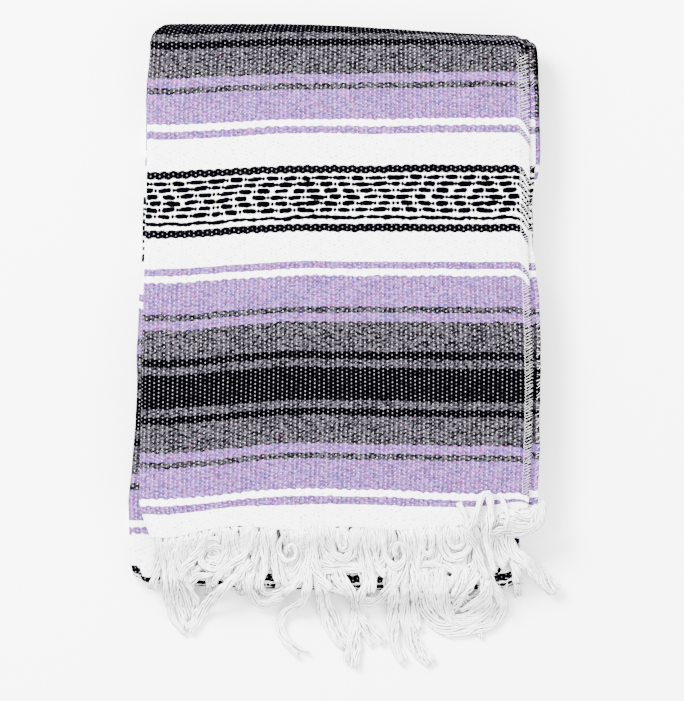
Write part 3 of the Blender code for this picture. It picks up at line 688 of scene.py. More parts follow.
def ply_section(half, flat_stops, nose_stops):
    """Ring round the section of a ply or roll: flat above and below, with a half-round nose. Returns how far
    each point is in from the nose, its height and its distance round."""
    back = np.linspace(PLY_DEPTH, half, flat_stops)
    nose = np.radians(np.linspace(90, -90, nose_stops))[1:-1]
    inward = np.concatenate([back, half - half * np.cos(nose), back[::-1]])
    height = np.concatenate([np.full(flat_stops, half), half * np.sin(nose), np.full(flat_stops, -half)])
    around = np.concatenate([[0], np.cumsum(np.hypot(np.diff(inward), np.diff(height)))])
    return inward, height, around


def swept_ply(z_middle, near_turns, section, edge_of, side, stops, shift):
    """Points and UV map of one ply: its section carried along its lane. side is 1 for the right side and -1 for
    the left. A stripe keeps its place along Y, moved by the ply's own shift (mm)."""
    inward, height, around = section
    along, crest_angle, turn_angle = lane(near_turns, stops)
    over_crest = 1 if z_middle > CREST_RADIUS else -1
    over_turn = 1 if z_middle > TURN_RADIUS else -1
    z = z_middle + height + 0 * along
    crest_reach = over_crest * (z - CREST_RADIUS)
    turn_reach = over_turn * (z - TURN_RADIUS)
    near_limit = turn_y(0.0) + TURN_RADIUS if near_turns else FACE_Y
    y = near_limit + (CREST_Y - CREST_RADIUS - near_limit) * along + 0 * z
    for _ in range(3):
        x = edge_of(y) - side * inward
        x = x - side * crest_inset(y, x)
        start = turn_y(x) + TURN_RADIUS if near_turns else FACE_Y + end_shift(x)
        y = start + (crest_y(x) - CREST_RADIUS - start) * along
        y = y + crest_reach * np.sin(crest_angle) + turn_reach * np.sin(turn_angle)
    z = z - over_crest * crest_reach * (1 - np.cos(crest_angle))
    z = z - over_turn * turn_reach * (1 - np.cos(turn_angle))
    picks = (y - FRONT_END_Y + shift * MM + crest_reach * crest_angle * 0.4) / PICK
    return np.stack([x, y, z], axis=-1), np.stack([around / WARP + 0 * y, picks], axis=-1)


def closed_sweep(points, uv, start, flip):
    """Faces of a ring of points carried along rows, closed round and capped at both ends, and their UV maps."""
    rows, columns = points.shape[:2]
    index = start + np.arange(rows * columns).reshape(rows, columns)
    order = slice(None, None, -1 if flip else 1)
    groups = []
    for values in (index[..., None], uv):
        beside = np.roll(values, -1, axis=1)
        around = np.stack([values[:-1], beside[:-1], beside[1:], values[1:]], axis=2)
        caps = np.stack([values[0][::-1], values[-1]])
        groups.append([around.reshape(-1, 4, values.shape[2])[:, order], caps[:, order]])
    return [group[..., 0] for group in groups[0]], groups[1]


def joined_sweeps(name, sweeps, flip, finish):
    """One mesh from several closed sweeps, each given by its points and its UV map."""
    groups, maps, start = [], [], 0
    for points, uv in sweeps:
        made = closed_sweep(points, uv, start, flip)
        groups += made[0]
        maps += made[1]
        start += points.shape[0] * points.shape[1]
    every = np.concatenate([points.reshape(-1, 3) for points, _ in sweeps])
    return mesh_from(name, every, groups, finish, maps)


def ply_edge(k, y):
    """Right edge of a hidden ply, uneven along its length."""
    ply = PLIES[k]
    column = "front_right" if ply.strip in UPPER_STRIPS else "low_right"
    stands_out = [reach * MM for reach in (ply.near, ply.waist, ply.waist, ply.far)]
    reach = np.interp(y, [at * MM for at in WAIST], stands_out)
    uneven = 0.5 * MM * np.sin(y / MM / 37 + 2.1 * k) + 0.4 * MM * ripple(y, 0 * y, 5 * MM, 20 + k)
    return edge_at(column, y) + reach + uneven


def right_plies(finish):
    """Hidden plies that show at the right side, each carried round the crest, and the lower ones round the near
    turn."""
    sweeps = []
    top = PILE_HEIGHT - LAYER
    for k, ply in enumerate(PLIES):
        height = ply.layers * LAYER
        section = ply_section((height - PLY_GAP) / 2, 5, 7)
        lower = ply.strip not in UPPER_STRIPS
        sweeps.append(swept_ply(top - height / 2, lower, section, partial(ply_edge, k), 1, 140, ply.shift))
        top -= height
    return joined_sweeps("right_plies", sweeps, False, finish)


def roll_edge(k, y):
    """Left edge of a rolled fold, uneven along its length."""
    roll = ROLLS[k]
    return edge_at(roll.column, y) + roll.reach * MM + 0.4 * MM * ripple(y, 0 * y, 9 * MM, 40 + k)


def left_rolls(finish):
    """Rolled folds that show at the left side, under the front ply's own roll."""
    sweeps = []
    for k, roll in enumerate(ROLLS):
        section = ply_section(roll.half * MM, 6, 9)
        lower = roll.column == "middle_left"
        sweeps.append(swept_ply(roll.middle * MM, lower, section, partial(roll_edge, k), -1, 150, roll.shift))
    return joined_sweeps("left_rolls", sweeps, True, finish)


def box_ring(left, right, high):
    """Ring round an upright section from left to right, between FILLING_INSET and the given height."""
    x = np.concatenate([np.linspace(left, right, RING_HALF), np.linspace(right, left, RING_HALF)])
    return x, np.repeat([high, FILLING_INSET], RING_HALF)


def hidden_layers(finish):
    """Filling of the pile that no one sees whole: rounded rings from its near face to the inside of the crest,
    and the tongue inside the near turn, clear of the cloth that wraps them."""
    places = [(y, 1.0, 0) for y in np.linspace(FACE_Y, FILLING_FLAT_END, 40)]
    for turn in FILLING_TURNS:
        reach = CREST_RADIUS - FILLING_INSET - 1 * MM
        places.append((FILLING_FLAT_END + reach * turn, math.sqrt(1 - turn**2), 1))
    body = []
    for y_at, squeeze, at_crest in places:
        left = edge_at("front_left", y_at) + FILLING_LEFT[at_crest]
        right = edge_at("front_right", y_at) - FILLING_RIGHT[at_crest]
        x, z = box_ring(left, right, PILE_HEIGHT - FILLING_INSET)
        far = smooth((y_at - FILLING_FAR_START) / FILLING_FAR_RUN)
        near = 1 - smooth((y_at - FACE_Y) / FILLING_NEAR_RUN)
        y = y_at + far * (crest_y(x) - CREST_Y) + near * end_shift(x)
        body.append(np.stack([x, y, (z - CREST_RADIUS) * squeeze + CREST_RADIUS], axis=-1))
    x, z = box_ring(*TONGUE_SIDES, 2 * STRIP_HEIGHT - FILLING_INSET)
    start = turn_y(x) + TURN_RADIUS - 4 * MM
    stop = FACE_Y + end_shift(x) - 0.5 * MM
    y = start + (stop - start) * np.linspace(0, 1, 6)[:, None]
    tongue = np.stack([x + 0 * y, y, z + 0 * y], axis=-1)
    sweeps = []
    for points in (np.array(body), tongue):
        uv = np.stack([points[..., 0] / WARP, (points[..., 1] - FRONT_END_Y) / PICK], axis=-1)
        sweeps.append((points, uv))
    return joined_sweeps("hidden_layers", sweeps, False, finish)


def tubes(name, routes, radii, finish):
    """Closed tubes along many routes at once. routes is (tubes, stops, 3), radii is (tubes, stops). The section
    is a ring across the route, kept upright. The UV map holds turns round and millimetres along."""
    tangent = np.gradient(routes, axis=1)
    tangent /= np.maximum(np.linalg.norm(tangent, axis=-1, keepdims=True), 1e-9)
    side = np.cross(tangent, np.array([0.0, 0.0, 1.0]) + 0 * tangent)
    side /= np.maximum(np.linalg.norm(side, axis=-1, keepdims=True), 1e-6)
    up = np.cross(side, tangent)
    u = np.arange(YARN_SIDES + 1) / YARN_SIDES
    angles = 2 * math.pi * u[:-1]
    ring = np.cos(angles)[:, None] * side[:, :, None, :] + np.sin(angles)[:, None] * up[:, :, None, :]
    points = routes[:, :, None, :] + ring * radii[:, :, None, None]
    count, stops = routes.shape[:2]
    index = np.arange(count * stops * YARN_SIDES).reshape(count, stops, YARN_SIDES)
    beside = np.roll(index, -1, axis=2)
    faces = np.stack([index[:, :-1], index[:, 1:], beside[:, 1:], beside[:, :-1]], axis=-1).reshape(-1, 4)
    step = np.linalg.norm(np.diff(routes, axis=1), axis=-1)
    along = np.concatenate([np.zeros((count, 1)), np.cumsum(step, axis=1)], axis=1) / MM
    along = along + YARN_OFFSET * np.arange(count)[:, None]
    flat = np.zeros_like(index[:, 1:], float)
    low, high = u[:-1] + flat, u[1:] + flat
    near, far = along[:, :-1, None] + flat, along[:, 1:, None] + flat
    corners = [np.stack(pair, axis=-1) for pair in ((low, near), (low, far), (high, far), (high, near))]
    maps = np.stack(corners, axis=3).reshape(-1, 4, 2)
    caps = np.concatenate([index[:, 0], index[:, -1][:, ::-1]])
    cap_along = np.repeat(np.concatenate([along[:, 0], along[:, -1]])[:, None], YARN_SIDES, axis=1)
    cap_maps = np.stack([0 * cap_along, cap_along], axis=-1)
    return mesh_from(name, points.reshape(-1, 3), [faces, caps], finish, [maps, cap_maps])


def through(points, count):
    """Evenly spaced stops on a smooth curve through the points (Catmull-Rom)."""
    points = np.array(points, float)
    ends = np.concatenate([[2 * points[0] - points[1]], points, [2 * points[-1] - points[-2]]])
    a, b, c, d = (ends[k : len(ends) - 3 + k, None, :] for k in range(4))
    t = np.linspace(0, 1, 16, endpoint=False)[None, :, None]
    curve = 0.5 * (2 * b + (c - a) * t + (2 * a - 5 * b + 4 * c - d) * t**2 + (3 * b - a - 3 * c + d) * t**3)
    curve = np.concatenate([curve.reshape(-1, points.shape[1]), points[-1:]])
    run = np.concatenate([[0], np.cumsum(np.linalg.norm(np.diff(curve, axis=0), axis=1))])
    even = np.linspace(0, run[-1], count)
    return np.stack([np.interp(even, run, curve[:, axis]) for axis in range(points.shape[1])], axis=1)


def bed_z(x, y, lift):
    """Height at which a yarn lies on the near turn, hangs off it and rests on the floor. Past the turn's centre
    line it follows a circle, then from HANG_ANGLE on it falls steeply and eases onto the floor."""
    side = np.interp(y, SIDE_AT_Y, SIDE_AT_X)
    past = np.maximum(turn_y(x) + TURN_RADIUS - y, x - side)
    radius = TURN_RADIUS + lift
    floor = FLOOR_CLEARANCE + lift
    edge = radius * math.sin(HANG_ANGLE)
    arc = TURN_RADIUS + np.sqrt(np.maximum(radius**2 - np.clip(past, 0, edge) ** 2, 0))
    fall = TURN_RADIUS + radius * math.cos(HANG_ANGLE) - floor
    run = np.clip((past - edge) * math.tan(HANG_ANGLE) / fall, 0, 1.35)
    share = np.clip((np.sqrt(1 + 1.4 * run) - 1) / 0.7, 0, 1)
    return np.where(past < edge, arc, floor + fall * (1 - share) ** 1.25)


def front_z(x, y, level, over):
    """Height of the upper fringe's yarns. They leave the front ply's end, fall onto the lower fringe and lie
    one on the other by level. A lock that lies over the cloth starts on top of it."""
    settled = 1.0 - smooth((SETTLED_Y - y) / SETTLED_RUN)
    lift = YARN + settled * SETTLED_LIFT + level * LEVEL * (0.45 + 0.55 * settled)
    bed = bed_z(x, y, lift)
    top = PILE_HEIGHT - LAYER / 2 - YARN + level * ROOT_LEVEL
    top = top + over * (LAYER / 2 + 2 * YARN + OVER_CLEARANCE)
    start = front_end_y(np.minimum(x, 148 * MM))
    side_fall = smooth((x - 150 * MM) / (10 * MM)) * SIDE_FALL
    return bed + np.maximum(top - bed - side_fall, 0.0) * (1 - smooth((start - 2 * MM - y) / FALL_RUN))


def lock_routes(lock, height, draw, thick):
    """Routes and radii of a lock's yarns. They are spread evenly over a flat twisted bundle, two yarns deep:
    each yarn crosses the width on top, turns at the side and crosses back below. Their ends are uneven."""
    middle = through([(x * MM, y * MM) for x, y in lock.points], YARN_STOPS * 3)
    tangent = np.gradient(middle, axis=0)
    tangent /= np.linalg.norm(tangent, axis=1)[:, None]
    across = np.stack([tangent[:, 1], -tangent[:, 0]], axis=1)
    share = np.linspace(0, 1, len(middle))
    length = np.linalg.norm(np.diff(middle, axis=0), axis=1).sum()
    radius = YARN * thick
    half = max(lock.width * MM / 2 - radius, 0.3 * MM)
    count = max(2, round(YARNS_ACROSS * half / radius) + 1)
    turns = draw.choice([-1, 1]) * draw.uniform(0.6, 1.2) * length / LOCK_TWIST
    phase = draw.uniform(0, 1)
    swell = 1 + 0.2 * np.sin(share * draw.uniform(5, 11) + draw.uniform(0, 6))
    routes, radii = [], []
    for k in range(count):
        place = (k + draw.uniform(-0.3, 0.3)) / count + phase + turns * share
        aside = half * swell * (4 * np.abs(np.mod(place, 1) - 0.5) - 1)
        above = radius * (1 + np.sin(2 * math.pi * place))
        stray = STRAY if draw.uniform() < STRAY_SHARE else WIGGLE
        wiggle = stray * np.sin(share * length / MM * draw.uniform(0.15, 0.45) + draw.uniform(0, 6))
        flat = middle + across * (aside + wiggle)[:, None]
        at = np.linspace(0, 1 - draw.uniform(0, END_UNEVEN), YARN_STOPS)
        x, y = (np.interp(at, share, flat[:, axis]) for axis in (0, 1))
        z = height(x, y) + np.interp(at, share, above)
        wide = radius * draw.uniform(0.85, 1.15) * (1 + 0.1 * np.sin(at * 50 + k))
        wide = wide * (1 - 0.5 * smooth((at / at[-1] - 0.96) / 0.04))
        routes.append(np.stack([x, y, z], axis=1))
        radii.append(wide)
    return routes, radii


def clear_x(x):
    """The nearest x (mm) where a hidden lock's tip does not cover a gap that shows the stripe at the turn."""
    for low, high in CLEAR_OF_LOCKS:
        if low - 3 < x < high + 3:
            return low - 3 if x - low < high - x else high + 3
    return x


def fill_locks(draw):
    """Locks under the tangle, from the woven end to the near turn: evenly rooted, each in an S curve."""
    locks = []
    for k in range(FILL_LOCKS):
        root = -151 + 289 * k / (FILL_LOCKS - 1) + draw.uniform(-2.5, 2.5)
        start = front_end_y(root * MM) / MM + draw.uniform(-0.5, 2.0)
        sway, tip = draw.uniform(-8, 8), clear_x(root + draw.uniform(-6, 6))
        stop = draw.uniform(-199, -190) if abs(tip - root) < 6 else -184
        points = ((root, start), (root + sway * 0.7, start - 11), (root - sway * 0.5, start - 26), (tip, stop))
        locks.append(Lock("fill", 8, 0, points))
    return locks


def low_locks(draw):
    """The short locks of the lower fringe, evenly rooted, leaning and reaching unevenly."""
    locks = []
    for k in range(LOW_LOCKS):
        root = -147 + 280 * k / (LOW_LOCKS - 1)
        start = (FACE_Y + end_shift(root * MM)) / MM - 1.5
        tip = clear_x(root + draw.uniform(-5, 5))
        bend = root + (tip - root) * 0.7
        points = ((root, start), (root, -166), (bend, -182), (tip, draw.uniform(-205, -195)))
        locks.append(Lock("low", 8, 0, points))
    return locks


def upper_height(lock):
    """Height function of a lock of the upper fringe. Tufts and upturned locks lie over the cloth."""
    over = 1.0 if lock.name.startswith(("up_", "right_tuft")) else 0.0
    return lambda x, y: front_z(x, y, lock.level, over)


def lower_height(_):
    """Height function of any lock of the lower fringe, which lies on the near turn."""
    return lambda x, y: bed_z(x, y, YARN + OVER_CLEARANCE)


def fringe(name, locks, height_of, draw, thick, finish):
    """All yarns of some locks, as one piece."""
    made = [lock_routes(lock, height_of(lock), draw, thick) for lock in locks]
    routes = np.array([route for routes, _ in made for route in routes])
    radii = np.array([radius for _, radii in made for radius in radii])
    return tubes(name, routes, radii, finish)


def serged_edge(y):
    """x of the front ply's serged edge."""
    return edge_at("front_right", y) - crest_inset(y, SERGED_X)


def serged_top(y):
    """Height of the overlock's threads over the front ply's face, beside its serged edge."""
    return PILE_HEIGHT + waves(SERGED_X, y) + creases(SERGED_CREASE_X, y) + 0.25 * MM


def stitch_depth(y):
    """How far in from the front ply's edge its stitches start: further near the crest."""
    return np.interp(y, [60 * MM, 150 * MM], [STITCH_NEAR, STITCH_FAR])


def stitch_routes(edge_x, top_z, span, depth, step, loose, seed):
    """Routes of overlock stitches along an edge: each thread starts in from the edge, slants up to it, turns
    over it and comes back a little way underneath. edge_x and top_z are functions of y, and span is where the
    stitches start and stop (mm). loose, from 0 to 1, is how unevenly they lie."""
    draw = np.random.default_rng(seed)
    count = int((span[1] * MM - span[0] * MM) / step)
    y = span[0] * MM + step * (np.arange(count) + draw.uniform(-0.2, 0.2, count) * (1 + loose))
    deep = depth * draw.uniform(0.9 - 0.3 * loose, 1.06, count)
    rise = STITCH_RISE * draw.uniform(0.8 - 1.1 * loose, 1.15, count)
    # Per point of a stitch: share of the depth, height, how far under the cloth, and share of the rise
    share = np.array([0.0, 0.06, 0.35, 0.65, 0.9, 1.0, 1.02, 0.92, 0.6])
    lift = np.array([-0.9, 0.25, 0.55, 0.55, 0.35, 0.0, 0.0, -0.3, -0.3])
    under = np.array([0, 0, 0, 0, 0, 0.35, 0.75, 1.1, 1.1])
    climb = np.array([-0.1, 0.0, 0.22, 0.55, 0.85, 0.95, 1.0, 0.98, 0.8])
    stitch_y = y[:, None] + rise[:, None] * climb
    x = edge_x(stitch_y) - deep[:, None] * (1 - share) + 0.45 * MM * (share > 0.95)
    z = top_z(stitch_y) + lift * 0.8 * MM - under * CLOTH
    return np.stack([x, stitch_y, z], axis=-1)


def overlock(finish):
    """Overlock stitches on the serged edges: the front ply's and those of the hidden plies that show."""
    routes, radii = [], []
    for k, span in enumerate(STITCH_SPANS):
        depth = float(stitch_depth(sum(span) / 2 * MM))
        routes.append(stitch_routes(serged_edge, serged_top, span, depth, STITCH_STEP, 0.15, 69 + k))
        radii.append(np.full(routes[-1].shape[:2], THREAD))
    top = PILE_HEIGHT
    for k, ply in enumerate(PLIES):
        top -= PLIES[k - 1].layers * LAYER if k else LAYER
        if ply.edge == "fold":
            continue

        def edge_of(y, k=k):
            return ply_edge(k, y) - crest_inset(y, SERGED_X)

        def top_of(y, top=top):
            return top + 0 * y

        span = (INNER_NEAR_UPPER if ply.strip in UPPER_STRIPS else INNER_NEAR_LOWER, INNER_FAR)
        routes.append(stitch_routes(edge_of, top_of, span, INNER_STITCH, INNER_STEP, 0.9, 71 + k))
        radii.append(np.full(routes[-1].shape[:2], INNER_THREAD))
    return tubes("overlock_stitches", np.concatenate(routes), np.concatenate(radii), finish)


def looper_thread(finish):
    """The looper thread of the front ply's overlock: it runs along the stitches' inner ends in small waves."""
    y = np.linspace(*LOOPER_SPAN, 1400)
    sway = 0.5 * MM * np.sin(y / STITCH_STEP * 2 * math.pi) + 0.4 * MM * ripple(y, 0 * y, 5 * MM, 90)
    x = serged_edge(y) - stitch_depth(y) + sway
    route = np.stack([x, y, serged_top(y) + 0.25 * MM], axis=1)[None]
    return tubes("looper_thread", route, np.full(route.shape[:2], LOOPER_THREAD), finish)


def linear(red, green, blue):
    """Linear light of an sRGB colour that is given from 0 to 255, with alpha 1."""
    values = np.array([red, green, blue]) / 255
    light = np.where(values <= 0.04045, values / 12.92, ((values + 0.055) / 1.055) ** 2.4)
    return (*light.tolist(), 1.0)


class Shade:
    """One socket of a material's nodes. Python's operators on it add Math nodes."""

    def __init__(self, finish, socket):
        self.finish = finish
        self.socket = socket

    def math(self, operation, *others):
        return self.finish.add("ShaderNodeMath", {"operation": operation}, dict(enumerate((self, *others))))

    def reflected(self, operation, other):
        return self.finish.add("ShaderNodeMath", {"operation": operation}, {0: other, 1: self})

    def __add__(self, other):
        return self.math("ADD", other)

    def __sub__(self, other):
        return self.math("SUBTRACT", other)

    def __rsub__(self, other):
        return self.reflected("SUBTRACT", other)

    def __mul__(self, other):
        return self.math("MULTIPLY", other)

    def __truediv__(self, other):
        return self.math("DIVIDE", other)

    def __rtruediv__(self, other):
        return self.reflected("DIVIDE", other)

    def __pow__(self, other):
        return self.math("POWER", other)

    def __abs__(self):
        return self.math("ABSOLUTE")

    __radd__ = __add__
    __rmul__ = __mul__

    def floor(self):
        return self.math("FLOOR")

    def modulo(self, other):
        return self.math("FLOORED_MODULO", other)

    def clamp(self):
        return self.math("MINIMUM", 1.0).math("MAXIMUM", 0.0)

    def below(self, limit, soft):
        """1 where the value is below the limit, easing to 0 over soft."""
        return ((limit - self + soft) / soft).clamp()

    def out(self, name):
        """Another output of the same node."""
        return Shade(self.finish, self.socket.node.outputs[name])


class Finish:
    """A Principled material without gloss, and its nodes."""

    def __init__(self, name, roughness):
        self.material = bpy.data.materials.new(name)
        self.material.use_nodes = True
        self.tree = self.material.node_tree
        self.shader = self.tree.nodes["Principled BSDF"]
        self.shader.inputs["Roughness"].default_value = roughness
        self.shader.inputs["Specular IOR Level"].default_value = 0.0

    def add(self, kind, settings=None, inputs=None, output=0):
        """Adds a node, sets its settings, then links or sets its inputs, and returns one of its outputs."""
        node = self.tree.nodes.new(kind)
        for name, value in (settings or {}).items():
            if name == "stops":
                ramp = node.color_ramp
                ramp.interpolation = "CONSTANT"
                while len(ramp.elements) < len(value):
                    ramp.elements.new(1.0)
                for element, (place, colour) in zip(ramp.elements, value):
                    element.position = place
                    element.color = colour
            else:
                setattr(node, name, value)
        for name, value in (inputs or {}).items():
            if isinstance(value, Shade):
                self.tree.links.new(value.socket, node.inputs[name])
            else:
                node.inputs[name].default_value = value
        return Shade(self, node.outputs[output])

    def mix(self, factor, first, second):
        """Mix of two colours by a factor."""
        return self.add("ShaderNodeMix", {"data_type": "RGBA"}, {0: factor, 6: first, 7: second}, 2)

    def vector(self, x, y, z=0.0):
        """Three values as one vector."""
        return self.add("ShaderNodeCombineXYZ", None, {0: x, 1: y, 2: z})

    def random(self, x, y, z):
        """A steady random value for each whole-numbered place."""
        place = self.vector(x, y, z)
        return self.add("ShaderNodeTexWhiteNoise", {"noise_dimensions": "3D"}, {"Vector": place}, "Value")

    def noise(self, place, scale, detail):
        """Smooth noise around 0.5."""
        inputs = {"Vector": place, "Scale": scale, "Detail": detail}
        return self.add("ShaderNodeTexNoise", {"noise_dimensions": "3D"}, inputs)

    def own_map(self):
        """The two values of the piece's own UV map."""
        place = self.add("ShaderNodeUVMap", {"uv_map": WEAVE_MAP})
        split = self.add("ShaderNodeSeparateXYZ", None, {0: place})
        return split.out("X"), split.out("Y")

    def dressed(self, colour, height, strength, distance):
        """Gives the shader its colour and its relief, and returns the material."""
        inputs = {"Strength": strength, "Distance": distance, "Height": height}
        bump = self.add("ShaderNodeBump", None, inputs, "Normal")
        self.tree.links.new(colour.socket, self.shader.inputs["Base Color"])
        self.tree.links.new(bump.socket, self.shader.inputs["Normal"])
        return self.material


# Yarn colours: the darkest and the lightest fibres of each, and which kind of yarn it is
DARKEST = {
    "white": linear(236, 233, 236), "lavender": linear(68, 48, 90), "grey": linear(3, 3, 4),
    "black": linear(0, 0, 1),
}
LIGHTEST = {
    "white": linear(250, 248, 250), "lavender": linear(126, 93, 158), "grey": linear(68, 65, 72),
    "black": linear(4, 4, 5),
}
KINDS = {"white": (0, 0, 0, 1), "lavender": (0, 1, 0, 1), "grey": (1, 0, 0, 1), "black": (0, 0, 1, 1)}
PINK_FLECK = linear(156, 46, 130)
BLUE_FLECK = linear(60, 52, 128)
RED_FLECK = linear(90, 24, 44)
PALE_FLECK = linear(150, 146, 156)
WARP_DOT = linear(190, 185, 196)
FLOAT_BLACK = linear(1, 1, 2)
# Painted shade: the dark colour mixed into the dips between the weft's columns and into the marks beside the
# warp dots
PAINTED_SHADE = linear(9, 6, 13)

# Patterned band: rows of black floats from the far side, and the thin black line near its near side
ROW_TOP = 16.5 * MM
ROW_PITCH = 5.13 * MM
LINE_AT = -15.3 * MM
FLOAT_HALF_WARPS = 1.55
FLOAT_HALF_HEIGHT = 2.2 * MM


def striped_cloth(name):
    """Weft-faced striped cotton. Each column of weft is a row of beads, two picks high and staggered from its
    neighbours', and the stripes' edges step a little with them. White warp shows as dots between beads."""
    cloth = Finish(name, 0.95)
    warps, picks = cloth.own_map()
    column = warps.floor()
    over = warps - column
    parity = column.modulo(2.0)
    doubled = (picks + parity) / 2.0
    bead = doubled.floor()
    up = doubled - bead
    band_start = (BAND_AT - HALF_REPEAT) / MM
    half = HALF_REPEAT / MM
    exact = (picks * (PICK / MM) - band_start).modulo(2 * half) - half
    wander = (cloth.noise(cloth.vector(warps * 0.45, picks * 0.05), 1.0, 2.0) - 0.5) * 1.4
    middle_pick = bead * 2.0 + 1.0 - parity
    stepped = (middle_pick * 0.3 + picks * 0.7 + wander) * (PICK / MM) - band_start
    away = abs(stepped.modulo(2 * half) - half) / half
    dark, light, kind = (
        cloth.add("ShaderNodeValToRGB", {"stops": [(s.start / half, of[s.yarn]) for s in STRIPES]}, {0: away})
        for of in (DARKEST, LIGHTEST, KINDS)
    )
    kinds = cloth.add("ShaderNodeSeparateColor", None, {0: kind})
    grey, lavender, black = kinds.out("Red"), kinds.out("Green"), kinds.out("Blue")
    white = 1.0 - (grey + lavender + black).clamp()

    by_bead = cloth.random(column, bead, 3.0)
    fibre = cloth.noise(cloth.vector(warps * 1.5 + picks * 0.5, picks * 0.9), 1.0, 4.0)
    slub = cloth.noise(cloth.vector(warps * 0.3, picks * 0.35, 5.0), 1.0, 2.0) - 0.5
    tone = (by_bead * 0.4 + (fibre - 0.5) * 4.2 + slub * 1.1 + 0.12).clamp()
    colour = cloth.mix(tone, dark, light)
    fleck = cloth.noise(cloth.vector(warps * 0.6, picks * 0.7, 3.0), 1.0, 2.0)
    tint = cloth.noise(cloth.vector(warps * 0.7, picks * 0.9, 8.0), 0.8, 3.0)
    for amount, fleck_colour in (
        (((0.47 - tint) * 5.0).clamp() * lavender * 0.3, PINK_FLECK),
        (((tint - 0.54) * 5.0).clamp() * lavender * 0.55, BLUE_FLECK),
        (((fleck - 0.62) * 9.0).clamp() * lavender * 0.85, PINK_FLECK),
        (((fleck - 0.7) * 14.0).clamp() * grey * 0.5, RED_FLECK),
        (((0.32 - fleck) * 12.0).clamp() * grey * 0.35, PALE_FLECK),
    ):
        colour = cloth.mix(amount, colour, fleck_colour)

    rib = (over * math.pi).math("SINE")
    # Painted shade in the dips between the columns of weft, stronger on grey and lavender and uneven from bead
    # to bead
    painted_groove_shade = (1.0 - rib) ** 3.0
    colour = cloth.mix(painted_groove_shade * (grey * 0.25 + lavender * 0.2 + by_bead * by_bead * 0.12), colour, PAINTED_SHADE)
    band = floats(cloth, warps, exact)
    # Painted shade: a dark mark beside each warp dot, uneven from mark to mark and kept off the floats; depth
    # is how strong it is on each yarn, strongest on grey and patchy on white
    below_dot = (doubled + 0.36).modulo(1.0) - 0.5
    painted_recess_shade = (((over - 0.12) / 0.26) ** 2.0 + (below_dot / 0.26) ** 2.0).below(0.3, 0.8)
    by_recess_shade = cloth.random(column, (doubled + 0.36).floor(), 9.0)
    depth = grey * 0.95 + lavender * 0.72 + white * by_recess_shade * 0.75
    colour = cloth.mix(painted_recess_shade * by_recess_shade * depth * (1.0 - band), colour, PAINTED_SHADE)

    dot_up = 1.0 - abs(up - 0.5) * 2.0
    dot = ((over - 0.5) / 0.145) ** 2.0 + (dot_up / 0.42) ** 2.0
    by_dot = cloth.random(column, (doubled + 0.5).floor(), 5.0)
    at_crest = ((picks - 250.0) / 9.0).clamp() * ((286.0 - picks) / 9.0).clamp()
    most = (by_dot * 0.8 + 0.12) * (1.0 - black * 0.45)
    shows = dot.below(0.3, 0.7) * most * (1.0 - band) * (1.0 - at_crest * 0.5)
    colour = cloth.mix(shows, colour, WARP_DOT)
    colour = cloth.mix(band, colour, FLOAT_BLACK)
    twisted = cloth.noise(cloth.vector(warps * 3.0, picks * 4.0), 2.2, 3.0)
    height = rib * (0.45 + 0.55 * (up * math.pi).math("SINE")) * 0.7 + twisted * 0.45
    return cloth.dressed(colour, height, 0.8, 0.45 * MM)


def floats(cloth, warps, exact):
    """Mask of the black floats in the patterned band: six rows of lozenges four warps apart. Each row is moved
    by one warp from the last, first one way and then the other, so the gaps draw concentric diamonds. A thin
    wavering black line runs near the band's near side. exact is the height over the band's middle (mm)."""
    row_place = (ROW_TOP / MM - exact) / (ROW_PITCH / MM)
    row = (row_place + 0.5).floor()
    inside = row.math("GREATER_THAN", -0.5) * row.math("LESS_THAN", 5.5)
    upright = (row_place - row) * (ROW_PITCH / MM)
    half = MOTIF_WARPS / 2
    from_middle = (warps - (MOTIF_WARP - half)).modulo(2 * half) - half
    place = (abs(from_middle) + abs(row - 3.0) - 0.5) / 4.0
    aside = (place - place.floor()) * 4.0 - 2.0
    whose = place.floor() + from_middle.math("SIGN") * 40.0
    slant = cloth.random(whose, row, 1.0) - 0.5
    long = cloth.random(whose, row, 2.0) * 0.22 + 0.92
    tall = cloth.random(whose, row, 3.0) * 0.3 + 0.9
    rough = (cloth.noise(cloth.vector(warps * 1.2, exact * 0.8), 1.0, 4.0) - 0.5) * 2.6
    level = upright + slant * aside * 0.75 + slant * 0.6 + rough
    across = abs(aside / (long * FLOAT_HALF_WARPS)) ** 3.4
    shape = across + abs(level / (tall * (FLOAT_HALF_HEIGHT / MM))) ** 2.6
    ticks = ((cloth.random(place.math("ROUND"), row, 4.0) - 0.08) * 40.0).clamp()
    tick = (((2.0 - abs(aside)) / 0.44) ** 2.0 + (upright / 1.9) ** 2.0).below(0.6, 0.4) * ticks
    unsteady = (cloth.noise(cloth.vector(warps * 0.35, 7.3, 0.4), 1.0, 4.0) - 0.5) * 5.0
    heavy = cloth.noise(cloth.vector(warps * 1.1, 2.3, 0.4), 1.0, 3.0) * 3.4 - 0.25
    thin = abs(exact - LINE_AT / MM + unsteady).below(heavy, 0.45)
    return ((shape.below(0.85, 0.25) + tick) * inside + thin).clamp()


